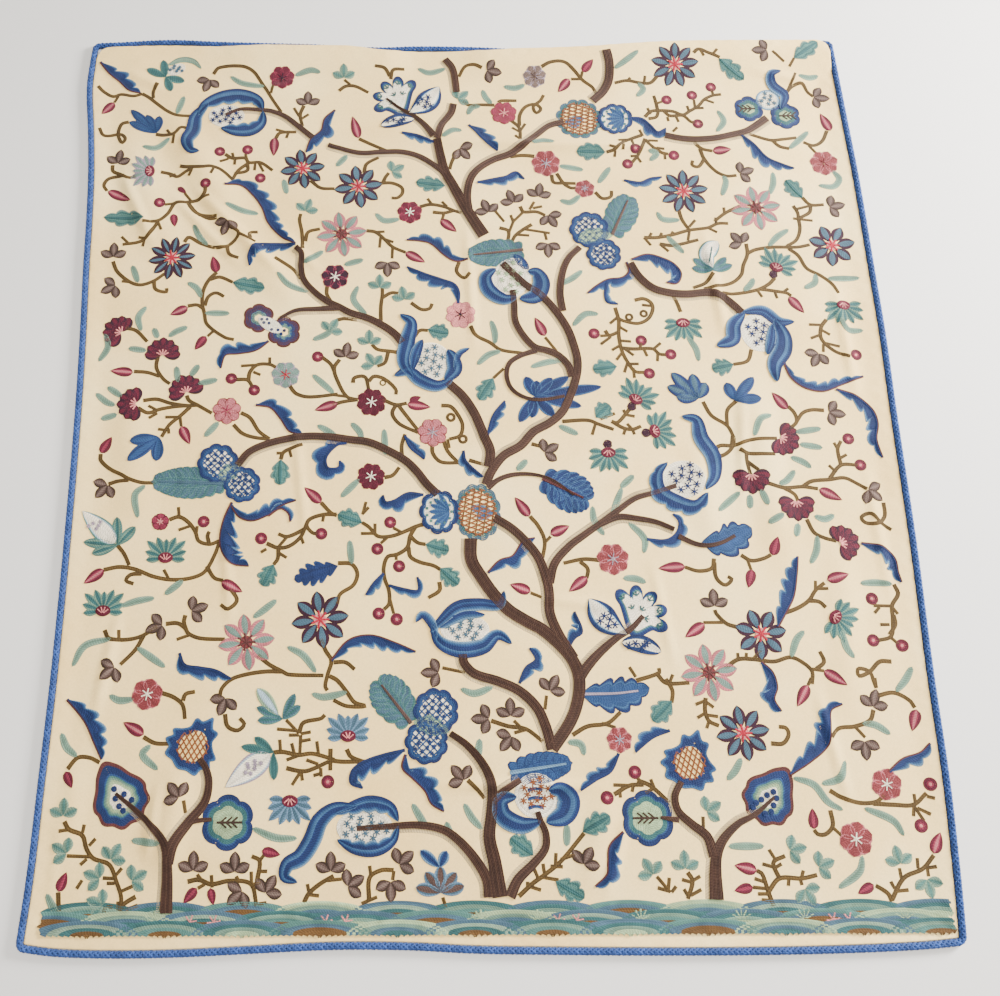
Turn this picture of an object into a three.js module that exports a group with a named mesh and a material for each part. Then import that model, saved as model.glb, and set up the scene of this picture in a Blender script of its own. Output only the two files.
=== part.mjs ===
// Crewel embroidery panel: one hemmed cloth lying face up and flat, with a round cord sewn round its edge.
// Millimetres, +Z up. X runs across the panel and Y from its bottom hem to its top hem.
import * as THREE from "three";

// Driving dimensions
const CLOTH_THICK = 2.0; // twill ground with its wool and turned hem
const CORD_RADIUS = 6.0;
const SEAM_GAP = 0.5; // between the cloth's edge and the cord
const HEM_RISE = 3.4; // the hem is sewn to the cord at about its mid height
const HEM_SLOPE = 38; // width over which the hem comes down to the surface
const TOP_SLOPE = 85; // the top hem rides higher, so it comes down more slowly
const COVER_REACH = 2; // how far the top hem laps past the cord's middle where it hides it
const TOP_CORNER = 24; // radius of the two top corners of the cloth
const CORD_CORNER = 9; // radius of the cord's middle line at the corners
const CORD_SIDES = 8;
const CORD_STEP = 31; // length of one straight facet of the cord
const CELL = 38; // grid spacing of the cloth away from its edges
const EDGE_LINES = [0, 9, 22, 42, 70]; // closer grid lines in from each edge
const ARC_STEPS = 4; // facets of the cord round one corner

// The middle of the finished panel, measured in the layout of the tables below.
const MIDDLE_X = 5.02;
const MIDDLE_Y = 851.62;

// The cloth's edges as it lies, each a smooth line through a few points.
const LEFT_EDGE = {
  y: [0, 110, 250, 430, 650, 900, 1050, 1200, 1300, 1400, 1500, 1600, 1670, 1720],
  x: [-740, -732, -727, -721, -718, -718, -721, -726, -728, -732, -740, -750, -747, -742],
};
const RIGHT_EDGE = {
  y: [0, 110, 250, 430, 650, 900, 1050, 1200, 1300, 1400, 1500, 1600, 1720],
  x: [738, 745, 751, 752, 757, 758, 760, 758, 757, 755, 751, 747, 742],
};
const BOTTOM_EDGE = {
  x: [-760, -690, -600, -500, -400, -250, -130, -30, 70, 250, 420, 550, 680, 760],
  y: [14, 5, 2, 3, 7, 13, 12, 7, 5, 3, 3, 5, 10, 17],
};
// Along the top: the cord's middle line, how far the hem covers it, and how far the hem is lifted over it.
const TOP_EDGE = {
  x: [-770, -700, -600, -500, -450, -400, -300, -230, -160, -100, -20, 50, 110, 250, 330, 440, 780],
  cord: [1700, 1703, 1708, 1703, 1701, 1699, 1695, 1689, 1687, 1689, 1688, 1685, 1681, 1685, 1691, 1697, 1697],
  cover: [0, 0, 0, 0, 0, 0.25, 0.5, 1, 0, 0, 0, 0, 1, 1, 1, 1, 1],
  lift: [0.3, 0.4, 0, 0.3, 0.8, 1, 1, 1, 1, 0.1, 0.2, 1, 1, 1, 1, 1, 1],
};

// The main soft folds: a ridge from one point to another, with the half width and height of its crown.
const FOLDS = [
  { x0: -610, y0: 1560, x1: -430, y1: 1270, half: 26, height: 5.0 },
  { x0: -690, y0: 1520, x1: -560, y1: 1180, half: 30, height: 4.0 },
  { x0: -500, y0: 1330, x1: -300, y1: 1090, half: 24, height: 3.5 },
  { x0: -260, y0: 1505, x1: 420, y1: 1448, half: 22, height: 4.0 },
  { x0: 430, y0: 1452, x1: 700, y1: 1480, half: 22, height: 2.6 },
  { x0: 505, y0: 1010, x1: 540, y1: 560, half: 24, height: 3.6 },
  { x0: 640, y0: 700, x1: 615, y1: 330, half: 22, height: 3.2 },
  { x0: 395, y0: 880, x1: 420, y1: 600, half: 20, height: 2.6 },
  { x0: 215, y0: 255, x1: 150, y1: 70, half: 20, height: 4.2 },
  { x0: -505, y0: 300, x1: -530, y1: 90, half: 20, height: 4.6 },
  { x0: -690, y0: 330, x1: -700, y1: 90, half: 22, height: 5.0 },
  { x0: -640, y0: 1010, x1: -600, y1: 640, half: 26, height: 3.0 },
];

const mix = (a, b, t) => a + (b - a) * t;
const clamp = (v) => Math.min(1, Math.max(0, v));
const smooth = (v) => clamp(v) ** 2 * (3 - 2 * clamp(v));

// A smooth line through the table's points: in cubic pieces, with each point's slope set by its neighbours.
function through(at, values, key) {
  const last = key.length - 1;
  const passed = key.filter((k) => k <= at).length;
  const i = Math.max(0, Math.min(last, passed) - 1);
  const slope = (k) => {
    const a = Math.max(0, k - 1);
    const b = Math.min(last, k + 1);
    return (values[b] - values[a]) / (key[b] - key[a]);
  };
  const span = key[i + 1] - key[i];
  const t = clamp((at - key[i]) / span);
  const rise = values[i + 1] - values[i];
  const bend = (1 - t) * (slope(i) * span - rise) + t * (rise - slope(i + 1) * span);
  return mix(values[i], values[i + 1], t) + t * (1 - t) * bend;
}

const leftEdge = (y) => through(y, LEFT_EDGE.x, LEFT_EDGE.y);
const rightEdge = (y) => through(y, RIGHT_EDGE.x, RIGHT_EDGE.y);
const bottomEdge = (x) => through(x, BOTTOM_EDGE.y, BOTTOM_EDGE.x);
const topCord = (x) => through(x, TOP_EDGE.cord, TOP_EDGE.x);
const topCover = (x) => clamp(through(x, TOP_EDGE.cover, TOP_EDGE.x));
const topLift = (x) => clamp(through(x, TOP_EDGE.lift, TOP_EDGE.x));
const SEAM = CORD_RADIUS + SEAM_GAP; // from the cord's middle line to the cloth's edge

// The top hem follows the cord's inner side or laps over it, and turns down in an arc at both corners.
function topEdge(x) {
  const hem = topCord(x) + mix(-SEAM, COVER_REACH, topCover(x));
  const inFromSide = Math.min(x - leftEdge(hem), rightEdge(hem) - x);
  const short = clamp(1 - inFromSide / TOP_CORNER);
  return hem - TOP_CORNER * (1 - Math.sqrt(1 - short * short));
}

// Places the cloth's grid: each point lies between the two side edges, and between the bottom and top edges.
function onCloth(across, along) {
  let x = mix(LEFT_EDGE.x[0], RIGHT_EDGE.x[0], across);
  let y = mix(0, topCord(0), along);
  for (let pass = 0; pass < 4; pass += 1) {
    x = mix(leftEdge(y), rightEdge(y), across);
    y = mix(bottomEdge(x), topEdge(x), along);
  }
  return { x, y };
}

// A fold is a bell-shaped ridge that fades out towards both its ends.
function foldHeight(x, y) {
  return FOLDS.reduce((sum, f) => {
    const length = Math.hypot(f.x1 - f.x0, f.y1 - f.y0);
    const along = ((x - f.x0) * (f.x1 - f.x0) + (y - f.y0) * (f.y1 - f.y0)) / length;
    const aside = ((x - f.x0) * (f.y1 - f.y0) - (y - f.y0) * (f.x1 - f.x0)) / length;
    const fade = smooth(Math.min(along, length - along) / (0.35 * length));
    const crown = smooth(1 - Math.abs(aside) / (2 * f.half));
    return sum + f.height * fade * crown;
  }, 0);
}

// The underside of the cloth: flat on the surface, raised by folds, and rising to the cord at the hems.
function undersideHeight(x, y) {
  const fromSides = Math.min(x - leftEdge(y), rightEdge(y) - x, y - bottomEdge(x));
  const hem = HEM_RISE * smooth(1 - fromSides / HEM_SLOPE);
  const overCord = 2 * CORD_RADIUS + 2 * SEAM_GAP;
  const topRise = mix(HEM_RISE, overCord, topLift(x));
  const fromCord = topCord(x) - 2 * SEAM - y;
  const top = topRise * smooth(1 - fromCord / TOP_SLOPE);
  const inside = smooth(fromSides / (2 * HEM_SLOPE)) * smooth(fromCord / TOP_SLOPE);
  return Math.max(hem, top) + foldHeight(x, y) * inside;
}

// Grid lines as shares of a length: close together at both ends and evenly spaced between.
function gridLines(length) {
  const last = EDGE_LINES[EDGE_LINES.length - 1];
  const cells = Math.round((length - 2 * last) / CELL);
  const middle = Array.from({ length: cells - 1 }, (_, i) => last + ((length - 2 * last) * (i + 1)) / cells);
  const far = EDGE_LINES.map((d) => length - d).reverse();
  return [...EDGE_LINES, ...middle, ...far].map((d) => d / length);
}

function clothGeometry() {
  const across = gridLines(RIGHT_EDGE.x[0] - LEFT_EDGE.x[0]);
  const along = gridLines(topCord(0));
  const columns = across.length - 1;
  const rows = along.length - 1;
  const sheet = new THREE.BoxGeometry(1, 1, 1, columns, rows, 1);
  const place = sheet.attributes.position;
  for (let i = 0; i < place.count; i += 1) {
    const column = Math.round((place.getX(i) + 0.5) * columns);
    const row = Math.round((place.getY(i) + 0.5) * rows);
    const { x, y } = onCloth(across[column], along[row]);
    const under = undersideHeight(x, y);
    place.setXYZ(i, x - MIDDLE_X, y - MIDDLE_Y, place.getZ(i) > 0 ? under + CLOTH_THICK : under);
  }
  sheet.computeVertexNormals();
  return sheet;
}

// One side of the cord's route, from corner to corner, as evenly spaced points on its middle line.
function cordSide(from, to, pointAt) {
  const steps = Math.round(Math.abs(to - from) / CORD_STEP);
  return Array.from({ length: steps + 1 }, (_, i) => pointAt(mix(from, to, i / steps)));
}

// The cord's middle line, anticlockwise round the cloth, with an arc at each corner.
function cordRoute() {
  const left = (y) => new THREE.Vector2(leftEdge(y) - SEAM, y);
  const right = (y) => new THREE.Vector2(rightEdge(y) + SEAM, y);
  const bottom = (x) => new THREE.Vector2(x, bottomEdge(x) - SEAM);
  const top = (x) => new THREE.Vector2(x, topCord(x));
  const corner = (side, end, x, y) => {
    const spot = new THREE.Vector2(x, y);
    for (let pass = 0; pass < 4; pass += 1) spot.set(side(spot.y).x, end(spot.x).y);
    return spot;
  };
  const lowLeft = corner(left, bottom, LEFT_EDGE.x[0], 0);
  const lowRight = corner(right, bottom, RIGHT_EDGE.x[0], 0);
  const highRight = corner(right, top, RIGHT_EDGE.x[0], TOP_EDGE.cord[0]);
  const highLeft = corner(left, top, LEFT_EDGE.x[0], TOP_EDGE.cord[0]);
  const inset = CORD_CORNER;
  const sides = [
    cordSide(lowLeft.x + inset, lowRight.x - inset, bottom),
    cordSide(lowRight.y + inset, highRight.y - inset, right),
    cordSide(highRight.x - inset, highLeft.x + inset, top),
    cordSide(highLeft.y - inset, lowLeft.y + inset, left),
  ];
  const corners = [lowRight, highRight, highLeft, lowLeft];
  return sides.flatMap((side, i) => {
    const next = sides[(i + 1) % sides.length][0];
    const arc = new THREE.QuadraticBezierCurve(side[side.length - 1], corners[i], next);
    return [...side, ...arc.getPoints(ARC_STEPS).slice(1, -1)];
  });
}

// A closed ring of octagons along the route, flat side down on the surface.
function cordGeometry() {
  const route = cordRoute();
  const steps = route.length;
  const ring = new THREE.TorusGeometry(1, 1, CORD_SIDES, steps);
  const place = ring.attributes.position;
  const facet = Math.PI / CORD_SIDES;
  const height = CORD_RADIUS * Math.cos(facet);
  for (let j = 0; j <= CORD_SIDES; j += 1) {
    const turn = (j % CORD_SIDES) * 2 * facet + facet;
    for (let i = 0; i <= steps; i += 1) {
      const here = route[i % steps];
      const before = route[(i + steps - 1) % steps];
      const after = route[(i + 1) % steps];
      const way = after.clone().sub(before).normalize();
      const out = CORD_RADIUS * Math.cos(turn);
      const up = height + CORD_RADIUS * Math.sin(turn);
      place.setXYZ(j * (steps + 1) + i, here.x + way.y * out - MIDDLE_X, here.y - way.x * out - MIDDLE_Y, up);
    }
  }
  ring.computeVertexNormals();
  return ring;
}

const twillCloth = new THREE.MeshStandardMaterial({ color: 0xe9d6b4, roughness: 0.92, metalness: 0 });
const blueCord = new THREE.MeshStandardMaterial({ color: 0x2f4f96, roughness: 0.8, metalness: 0 });

const cloth = new THREE.Mesh(clothGeometry(), twillCloth);
cloth.name = "panel_cloth";
const cord = new THREE.Mesh(cordGeometry(), blueCord);
cord.name = "edge_cord";

const panel = new THREE.Group();
panel.add(cloth, cord);

export default panel;
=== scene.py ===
"""Crewel embroidery panel: wool stitches on cotton twill, edged with a braided cord, lying face up."""

import bpy
import numpy as np
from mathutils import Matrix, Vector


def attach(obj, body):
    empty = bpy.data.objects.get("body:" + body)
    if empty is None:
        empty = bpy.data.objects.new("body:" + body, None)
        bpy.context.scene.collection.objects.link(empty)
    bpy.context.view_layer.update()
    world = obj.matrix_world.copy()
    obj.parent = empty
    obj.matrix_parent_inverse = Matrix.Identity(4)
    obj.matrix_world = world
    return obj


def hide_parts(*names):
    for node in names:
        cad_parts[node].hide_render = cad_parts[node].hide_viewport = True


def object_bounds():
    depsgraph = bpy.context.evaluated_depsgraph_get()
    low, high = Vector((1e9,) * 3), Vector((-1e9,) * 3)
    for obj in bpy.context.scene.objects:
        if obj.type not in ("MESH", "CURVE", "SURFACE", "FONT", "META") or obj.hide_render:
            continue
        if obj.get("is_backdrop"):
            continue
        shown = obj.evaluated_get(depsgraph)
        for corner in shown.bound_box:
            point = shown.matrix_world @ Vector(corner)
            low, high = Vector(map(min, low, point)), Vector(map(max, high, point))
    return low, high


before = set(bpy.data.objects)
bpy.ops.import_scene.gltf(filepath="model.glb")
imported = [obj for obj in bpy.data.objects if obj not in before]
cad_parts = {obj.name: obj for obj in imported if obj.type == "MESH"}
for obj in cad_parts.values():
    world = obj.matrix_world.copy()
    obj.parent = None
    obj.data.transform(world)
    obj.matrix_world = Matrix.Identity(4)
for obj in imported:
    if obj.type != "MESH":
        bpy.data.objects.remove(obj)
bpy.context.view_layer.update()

# Real sizes in millimetres, in the layout of the part's own tables
MIDDLE = np.array((5.02, 851.62))  # the panel's middle
CLOTH_TOP = 1.5  # face of the cloth over the surface it lies on
CELL = 6.0  # grid of the cloth
ROW = 2.6  # width of one row of stem stitch in two-ply wool
STEP = 4.0  # length of one sample along a row
SEAM = 6.5  # from the cord's middle line to the cloth's edge
HEM_TURN = 1.3  # how far below the face the turned hem lies
TOP_CORNER = 24.0
random = np.random.default_rng(7)

LEFT_EDGE = (
    (0, 110, 250, 430, 650, 900, 1050, 1200, 1300, 1400, 1500, 1600, 1670, 1720),
    (-740, -732, -727, -721, -718, -718, -721, -726, -728, -732, -740, -750, -747, -742),
)
RIGHT_EDGE = (
    (0, 110, 250, 430, 650, 900, 1050, 1200, 1300, 1400, 1500, 1600, 1720),
    (738, 745, 751, 752, 757, 758, 760, 758, 757, 755, 751, 747, 742),
)
BOTTOM_EDGE = (
    (-760, -690, -600, -500, -400, -250, -130, -30, 70, 250, 420, 550, 680, 760),
    (14, 5, 2, 3, 7, 13, 12, 7, 5, 3, 3, 5, 10, 17),
)
TOP_X = (-770, -700, -600, -500, -450, -400, -300, -230, -160, -100, -20, 50, 110, 250, 330, 440, 780)
TOP_CORD = (1700, 1703, 1708, 1703, 1701, 1699, 1695, 1689, 1687, 1689, 1688, 1685, 1681, 1685, 1691,
    1697, 1697)
TOP_COVER = (0, 0, 0, 0, 0, 0.25, 0.5, 1, 0, 0, 0, 0, 1, 1, 1, 1, 1)
TOP_LIFT = (0.3, 0.4, 0, 0.3, 0.8, 1, 1, 1, 1, 0.1, 0.2, 1, 1, 1, 1, 1, 1)

# Soft folds of the lying cloth: from x, y to x, y, half width, height
FOLDS = (
    (-610, 1560, -430, 1270, 26, 5.0),
    (-690, 1520, -560, 1180, 30, 4.0),
    (-500, 1330, -300, 1090, 24, 3.5),
    (-260, 1505, 420, 1448, 22, 4.0),
    (430, 1452, 700, 1480, 22, 2.6),
    (505, 1010, 540, 560, 24, 3.6),
    (640, 700, 615, 330, 22, 3.2),
    (395, 880, 420, 600, 20, 2.6),
    (215, 255, 150, 70, 20, 4.2),
    (-505, 300, -530, 90, 20, 4.6),
    (-690, 330, -700, 90, 22, 5.0),
    (-640, 1010, -600, 640, 26, 3.0),
)
# Finer creases of the cloth, in the same columns
CREASES = (
    (-560, 1400, -330, 1150, 8, 2.2),
    (-600, 1380, -420, 1180, 7, 1.8),
    (-690, 1430, -600, 1230, 8, 2.2),
    (-700, 1655, -560, 1690, 10, 2.6),
    (-690, 1640, -600, 1600, 8, 2.0),
    (-520, 1665, -420, 1690, 8, 1.8),
    (-420, 1590, -300, 1620, 8, 1.6),
    (-380, 1300, -280, 1180, 7, 1.6),
    (-70, 1470, 470, 1452, 7, 1.8),
    (20, 1660, 300, 1640, 9, 1.6),
    (450, 1300, 480, 1010, 8, 1.8),
    (495, 960, 470, 700, 7, 1.6),
    (-5, 1310, 5, 1000, 7, 1.6),
    (-120, 250, 230, 246, 7, 1.6),
    (240, 230, 180, 60, 7, 2.0),
    (-700, 210, -705, 50, 7, 2.4),
    (-540, 270, -555, 120, 7, 2.0),
    (-620, 560, -660, 330, 8, 1.8),
    (690, 1180, 705, 900, 8, 1.8),
    (700, 820, 715, 520, 8, 2.0),
    (560, 420, 600, 190, 7, 1.8),
    (300, 640, 330, 420, 7, 1.4),
    (-330, 900, -300, 640, 7, 1.4),
    (-450, 700, -430, 500, 7, 1.4),
    (560, 1640, 720, 1600, 8, 1.8),
    (90, 560, 250, 540, 7, 1.2),
)


def smooth(v):
    """Eases from 0 to 1."""
    v = np.clip(v, 0, 1)
    return v * v * (3 - 2 * v)


def through(at, key, values):
    """Cubic pieces through a table's points, each point's slope set by its two neighbours."""
    key, values = np.array(key, float), np.array(values, float)
    here = np.arange(len(key))
    low, high = np.maximum(here - 1, 0), np.minimum(here + 1, len(key) - 1)
    slope = (values[high] - values[low]) / (key[high] - key[low])
    i = np.clip(np.searchsorted(key, at, "right") - 1, 0, len(key) - 2)
    span = key[i + 1] - key[i]
    t = np.clip((at - key[i]) / span, 0, 1)
    rise = values[i + 1] - values[i]
    bend = (1 - t) * (slope[i] * span - rise) + t * (rise - slope[i + 1] * span)
    return values[i] + rise * t + t * (1 - t) * bend


def top_cord(x):
    return through(x, TOP_X, TOP_CORD)


def top_edge(x):
    """The top hem follows the cord's inner side or laps over it, with an arc at both corners."""
    cover = np.clip(through(x, TOP_X, TOP_COVER), 0, 1)
    hem = top_cord(x) - SEAM + (SEAM + 2) * cover
    short = np.clip(1 - np.minimum(x - through(hem, *LEFT_EDGE),
        through(hem, *RIGHT_EDGE) - x) / TOP_CORNER, 0, 1)
    return hem - TOP_CORNER * (1 - np.sqrt(1 - short * short))


def ridges(x, y, table):
    """Sum of bell-shaped ridges, each from one point to another and fading out at both ends."""
    total = np.zeros_like(x)
    for x0, y0, x1, y1, half, height in table:
        length = np.hypot(x1 - x0, y1 - y0)
        along = ((x - x0) * (x1 - x0) + (y - y0) * (y1 - y0)) / length
        aside = ((x - x0) * (y1 - y0) - (y - y0) * (x1 - x0)) / length
        fade = smooth(np.minimum(along, length - along) / (0.35 * length))
        total += height * fade * smooth(1 - np.abs(aside) / (2 * half))
    return total


def cloth_height(x, y):
    """Face of the cloth: raised by folds, creases and slow waves, and rising to the cord at its hems."""
    sides = np.minimum(np.minimum(x - through(y, *LEFT_EDGE), through(y, *RIGHT_EDGE) - x),
        y - through(x, *BOTTOM_EDGE))
    from_cord = top_cord(x) - 2 * SEAM - y
    lift = np.clip(through(x, TOP_X, TOP_LIFT), 0, 1)
    hem = 3.4 * smooth(1 - sides / 38)
    top = (3.4 + 9.6 * lift) * smooth(1 - from_cord / 85)
    inside = smooth(sides / 76) * smooth(from_cord / 85)
    waves = 0.5 + 0.28 * np.sin(x / 41 + 1.3 * np.sin(y / 67)) + 0.28 * np.sin(y / 47 + 1.1 * np.sin(x / 59))
    near = smooth(1 - np.minimum(sides, from_cord + 13) / 60)
    pucker = 0.45 * near * (np.sin(x / 5.3 + np.sin(y / 31)) * np.sin(y / 4.9 + np.sin(x / 27)) + 1)
    folds = 1.4 * ridges(x, y, FOLDS) + 2.4 * ridges(x, y, CREASES) + waves
    return CLOTH_TOP + np.maximum(hem, top) + folds * inside + pucker


# Colours
DYES = dict(
    trunk="#32201A", trunk2="#3C2920", oat="#A8946E", oat2="#917F5E", stem="#3E2E14", stem2="#4A3819",
    navy="#132248", blue="#1D365C", mid="#2C4A6C", pale="#4F6A82", ice="#8FA5B0", grey="#344C5C",
    teal="#274A4C", teal2="#3C5F5A", aqua="#546E60", aqua2="#667C6B", mint="#7E9170", grey2="#586E66",
    plum="#280E1E", plumred="#3C0A1A", wine="#4C1224", rose="#702438", dusty="#96545A", pink="#B46E6C",
    red="#861628", brick="#682A2E", russet="#442222", taupe="#43332F", taupe2="#5A4A44", bark="#2C1F18",
    white="#CFC7B4", mauve="#7F7380", lattice="#6C3C20", hill="#50381C",
)


def linear(code):
    """An sRGB hex code as linear light."""
    part = np.array([int(code[i : i + 2], 16) for i in (1, 3, 5)]) / 255
    return np.where(part > 0.04045, ((part + 0.055) / 1.055) ** 2.4, part / 12.92)


LINEAR = {name: linear(code) for name, code in DYES.items()}

# Stitching
ROWS = {}


def line(points, step=STEP):
    """Even samples of a smooth line through given points."""
    spots = np.reshape(points, (-1, 2)).astype(float)
    chord = np.concatenate(([0], np.cumsum(np.hypot(*np.diff(spots, axis=0).T))))
    fine = np.linspace(0, chord[-1], max(8, int(chord[-1] / 1.5)))
    x, y = through(fine, chord, spots[:, 0]), through(fine, chord, spots[:, 1])
    run = np.concatenate(([0], np.cumsum(np.hypot(np.diff(x), np.diff(y)))))
    even = np.linspace(0, run[-1], max(3, int(round(run[-1] / step)) + 1))
    return np.column_stack((np.interp(even, run, x), np.interp(even, run, y)))


def left_of(path):
    """Unit vectors square to a path, on its left."""
    way = np.gradient(path, axis=0)
    way /= np.maximum(np.hypot(way[:, 0], way[:, 1]), 1e-9)[:, None]
    return np.column_stack((-way[:, 1], way[:, 0]))


def shift(path, aside):
    return path + left_of(path) * np.broadcast_to(aside, len(path))[:, None]


def lay(piece, path, half, dye, rise=1.0, lift=0.0):
    """Keeps one row of stitches: its middle line, half width, dye, crest and the wool under it."""
    ROWS.setdefault(piece, []).append((path, np.broadcast_to(half, len(path)), LINEAR[dye], rise, lift))


def band(piece, points, wide, narrow, dyes, lift=0.0, rise=1.0):
    """A stem: rows side by side along a line, tapering from wide to narrow."""
    path = line(points)
    width = np.linspace(wide, narrow, len(path))
    rows = max(1, round(max(wide, narrow) / ROW))
    for k in range(rows):
        lay(piece, shift(path, ((k + 0.5) / rows - 0.5) * width), 0.62 * width / rows,
            dyes[k % len(dyes)], rise, lift)
    return path, width


def leaf(piece, points, wide, profile, bands, left=1.0, right=1.0, lift=0.0, lean=0.0):
    """Rows at even shares of a profile's width beside a spine, first dye outermost, leaning to the tip."""
    path = line(points, 2.8 if lean else STEP)
    t = np.linspace(0, 1, len(path))
    for sign, share in ((1, left), (-1, right)):
        half = wide / 2 * share * np.maximum(profile(t), 0)
        rows = round(half.max() / ROW)
        for k in range(rows):
            aside = sign * (rows - k - 0.5) / rows * half
            ahead = left_of(path)[:, ::-1] * (1, -1) * (lean * np.abs(aside))[:, None]
            lay(piece, shift(path, aside) + ahead, 0.58 * half / rows + 0.3,
                bands[min(k, len(bands) - 1)], 1.0, lift)


def disc(piece, x, y, radius, bands, lobes=0, depth=0.0, turn=0.0, squash=1.0, lift=0.0, inner=0.0):
    """A round or scalloped patch worked in rings: radius falls by depth between its lobes."""
    rows = round(radius * (1 - inner) / ROW)
    turn = np.radians(turn)
    for k in range(rows):
        share = 1 - (k + 0.5) / rows * (1 - inner)
        a = np.linspace(0, 2 * np.pi, max(8, round(2 * np.pi * radius * share / STEP)) + 1)
        r = radius * share * (1 - depth + depth * np.abs(np.sin(lobes * a / 2)) ** 0.6 if lobes else 1)
        u, v = r * np.cos(a), squash * r * np.sin(a)
        path = np.column_stack((x + u * np.cos(turn) - v * np.sin(turn),
            y + u * np.sin(turn) + v * np.cos(turn)))
        lay(piece, path, 0.6 * ROW, bands[min(k, len(bands) - 1)], 1.0, lift)


def patch(piece, points, bands, lift=0.0, inner=0.0):
    """A patch worked in rings that follow a given closed outline, shrinking to its middle."""
    spots = np.reshape(points, (-1, 2)).astype(float)
    outline = line(np.concatenate((spots, spots[:1])), 2.6)
    middle = outline.mean(0)
    out = outline - middle
    far = np.hypot(*out.T)
    rows = max(1, round(far.mean() * (1 - inner) / ROW))
    for k in range(rows):
        share = 1 - (k + 0.5) / rows * (1 - inner)
        wide = 0.62 * ROW * np.clip(far / far.mean(), 0.6, 1.8)
        lay(piece, middle + share * out, wide, bands[min(k, len(bands) - 1)], 1.0, lift)


def ray(x, y, angle, start, end):
    """The two ends of a spoke about a point, angle in degrees."""
    a = np.radians(angle)
    return (x + start * np.cos(a), y + start * np.sin(a), x + end * np.cos(a), y + end * np.sin(a))


def spokes(piece, x, y, start, end, count, dye, turn=0.0, spread=360.0, half=1.0, lift=0.6):
    """Straight stitches about a point, as the star at a flower's heart."""
    for k in range(count):
        lay(piece, line(ray(x, y, turn + spread * k / count, start, end), 3.0), half, dye, 0.9, lift)


# Profiles of leaves along their spine, t from base to tip
def blade(t):
    return np.sin(np.pi * t) ** 0.55


def petal(t):
    return np.sin(np.pi * np.clip(t, 0, 1) ** 1.25) ** 0.6


def pointed(t):
    return np.sin(np.pi * t**1.15) ** 0.85


def strap(t):
    return np.sin(np.pi * t) ** 0.32


def drop(t):
    return np.sin(np.pi * t**0.7) ** 0.8


def lobed(count, depth=0.45):
    """A blade whose edge is cut into rounded lobes that lean to the tip."""
    def profile(t):
        lobe = np.sin(np.pi * ((count * t) % 1) ** 1.5) ** 0.6
        return np.sin(np.pi * t**0.85) ** 0.8 * (1 - depth + depth * lobe)

    return profile


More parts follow.
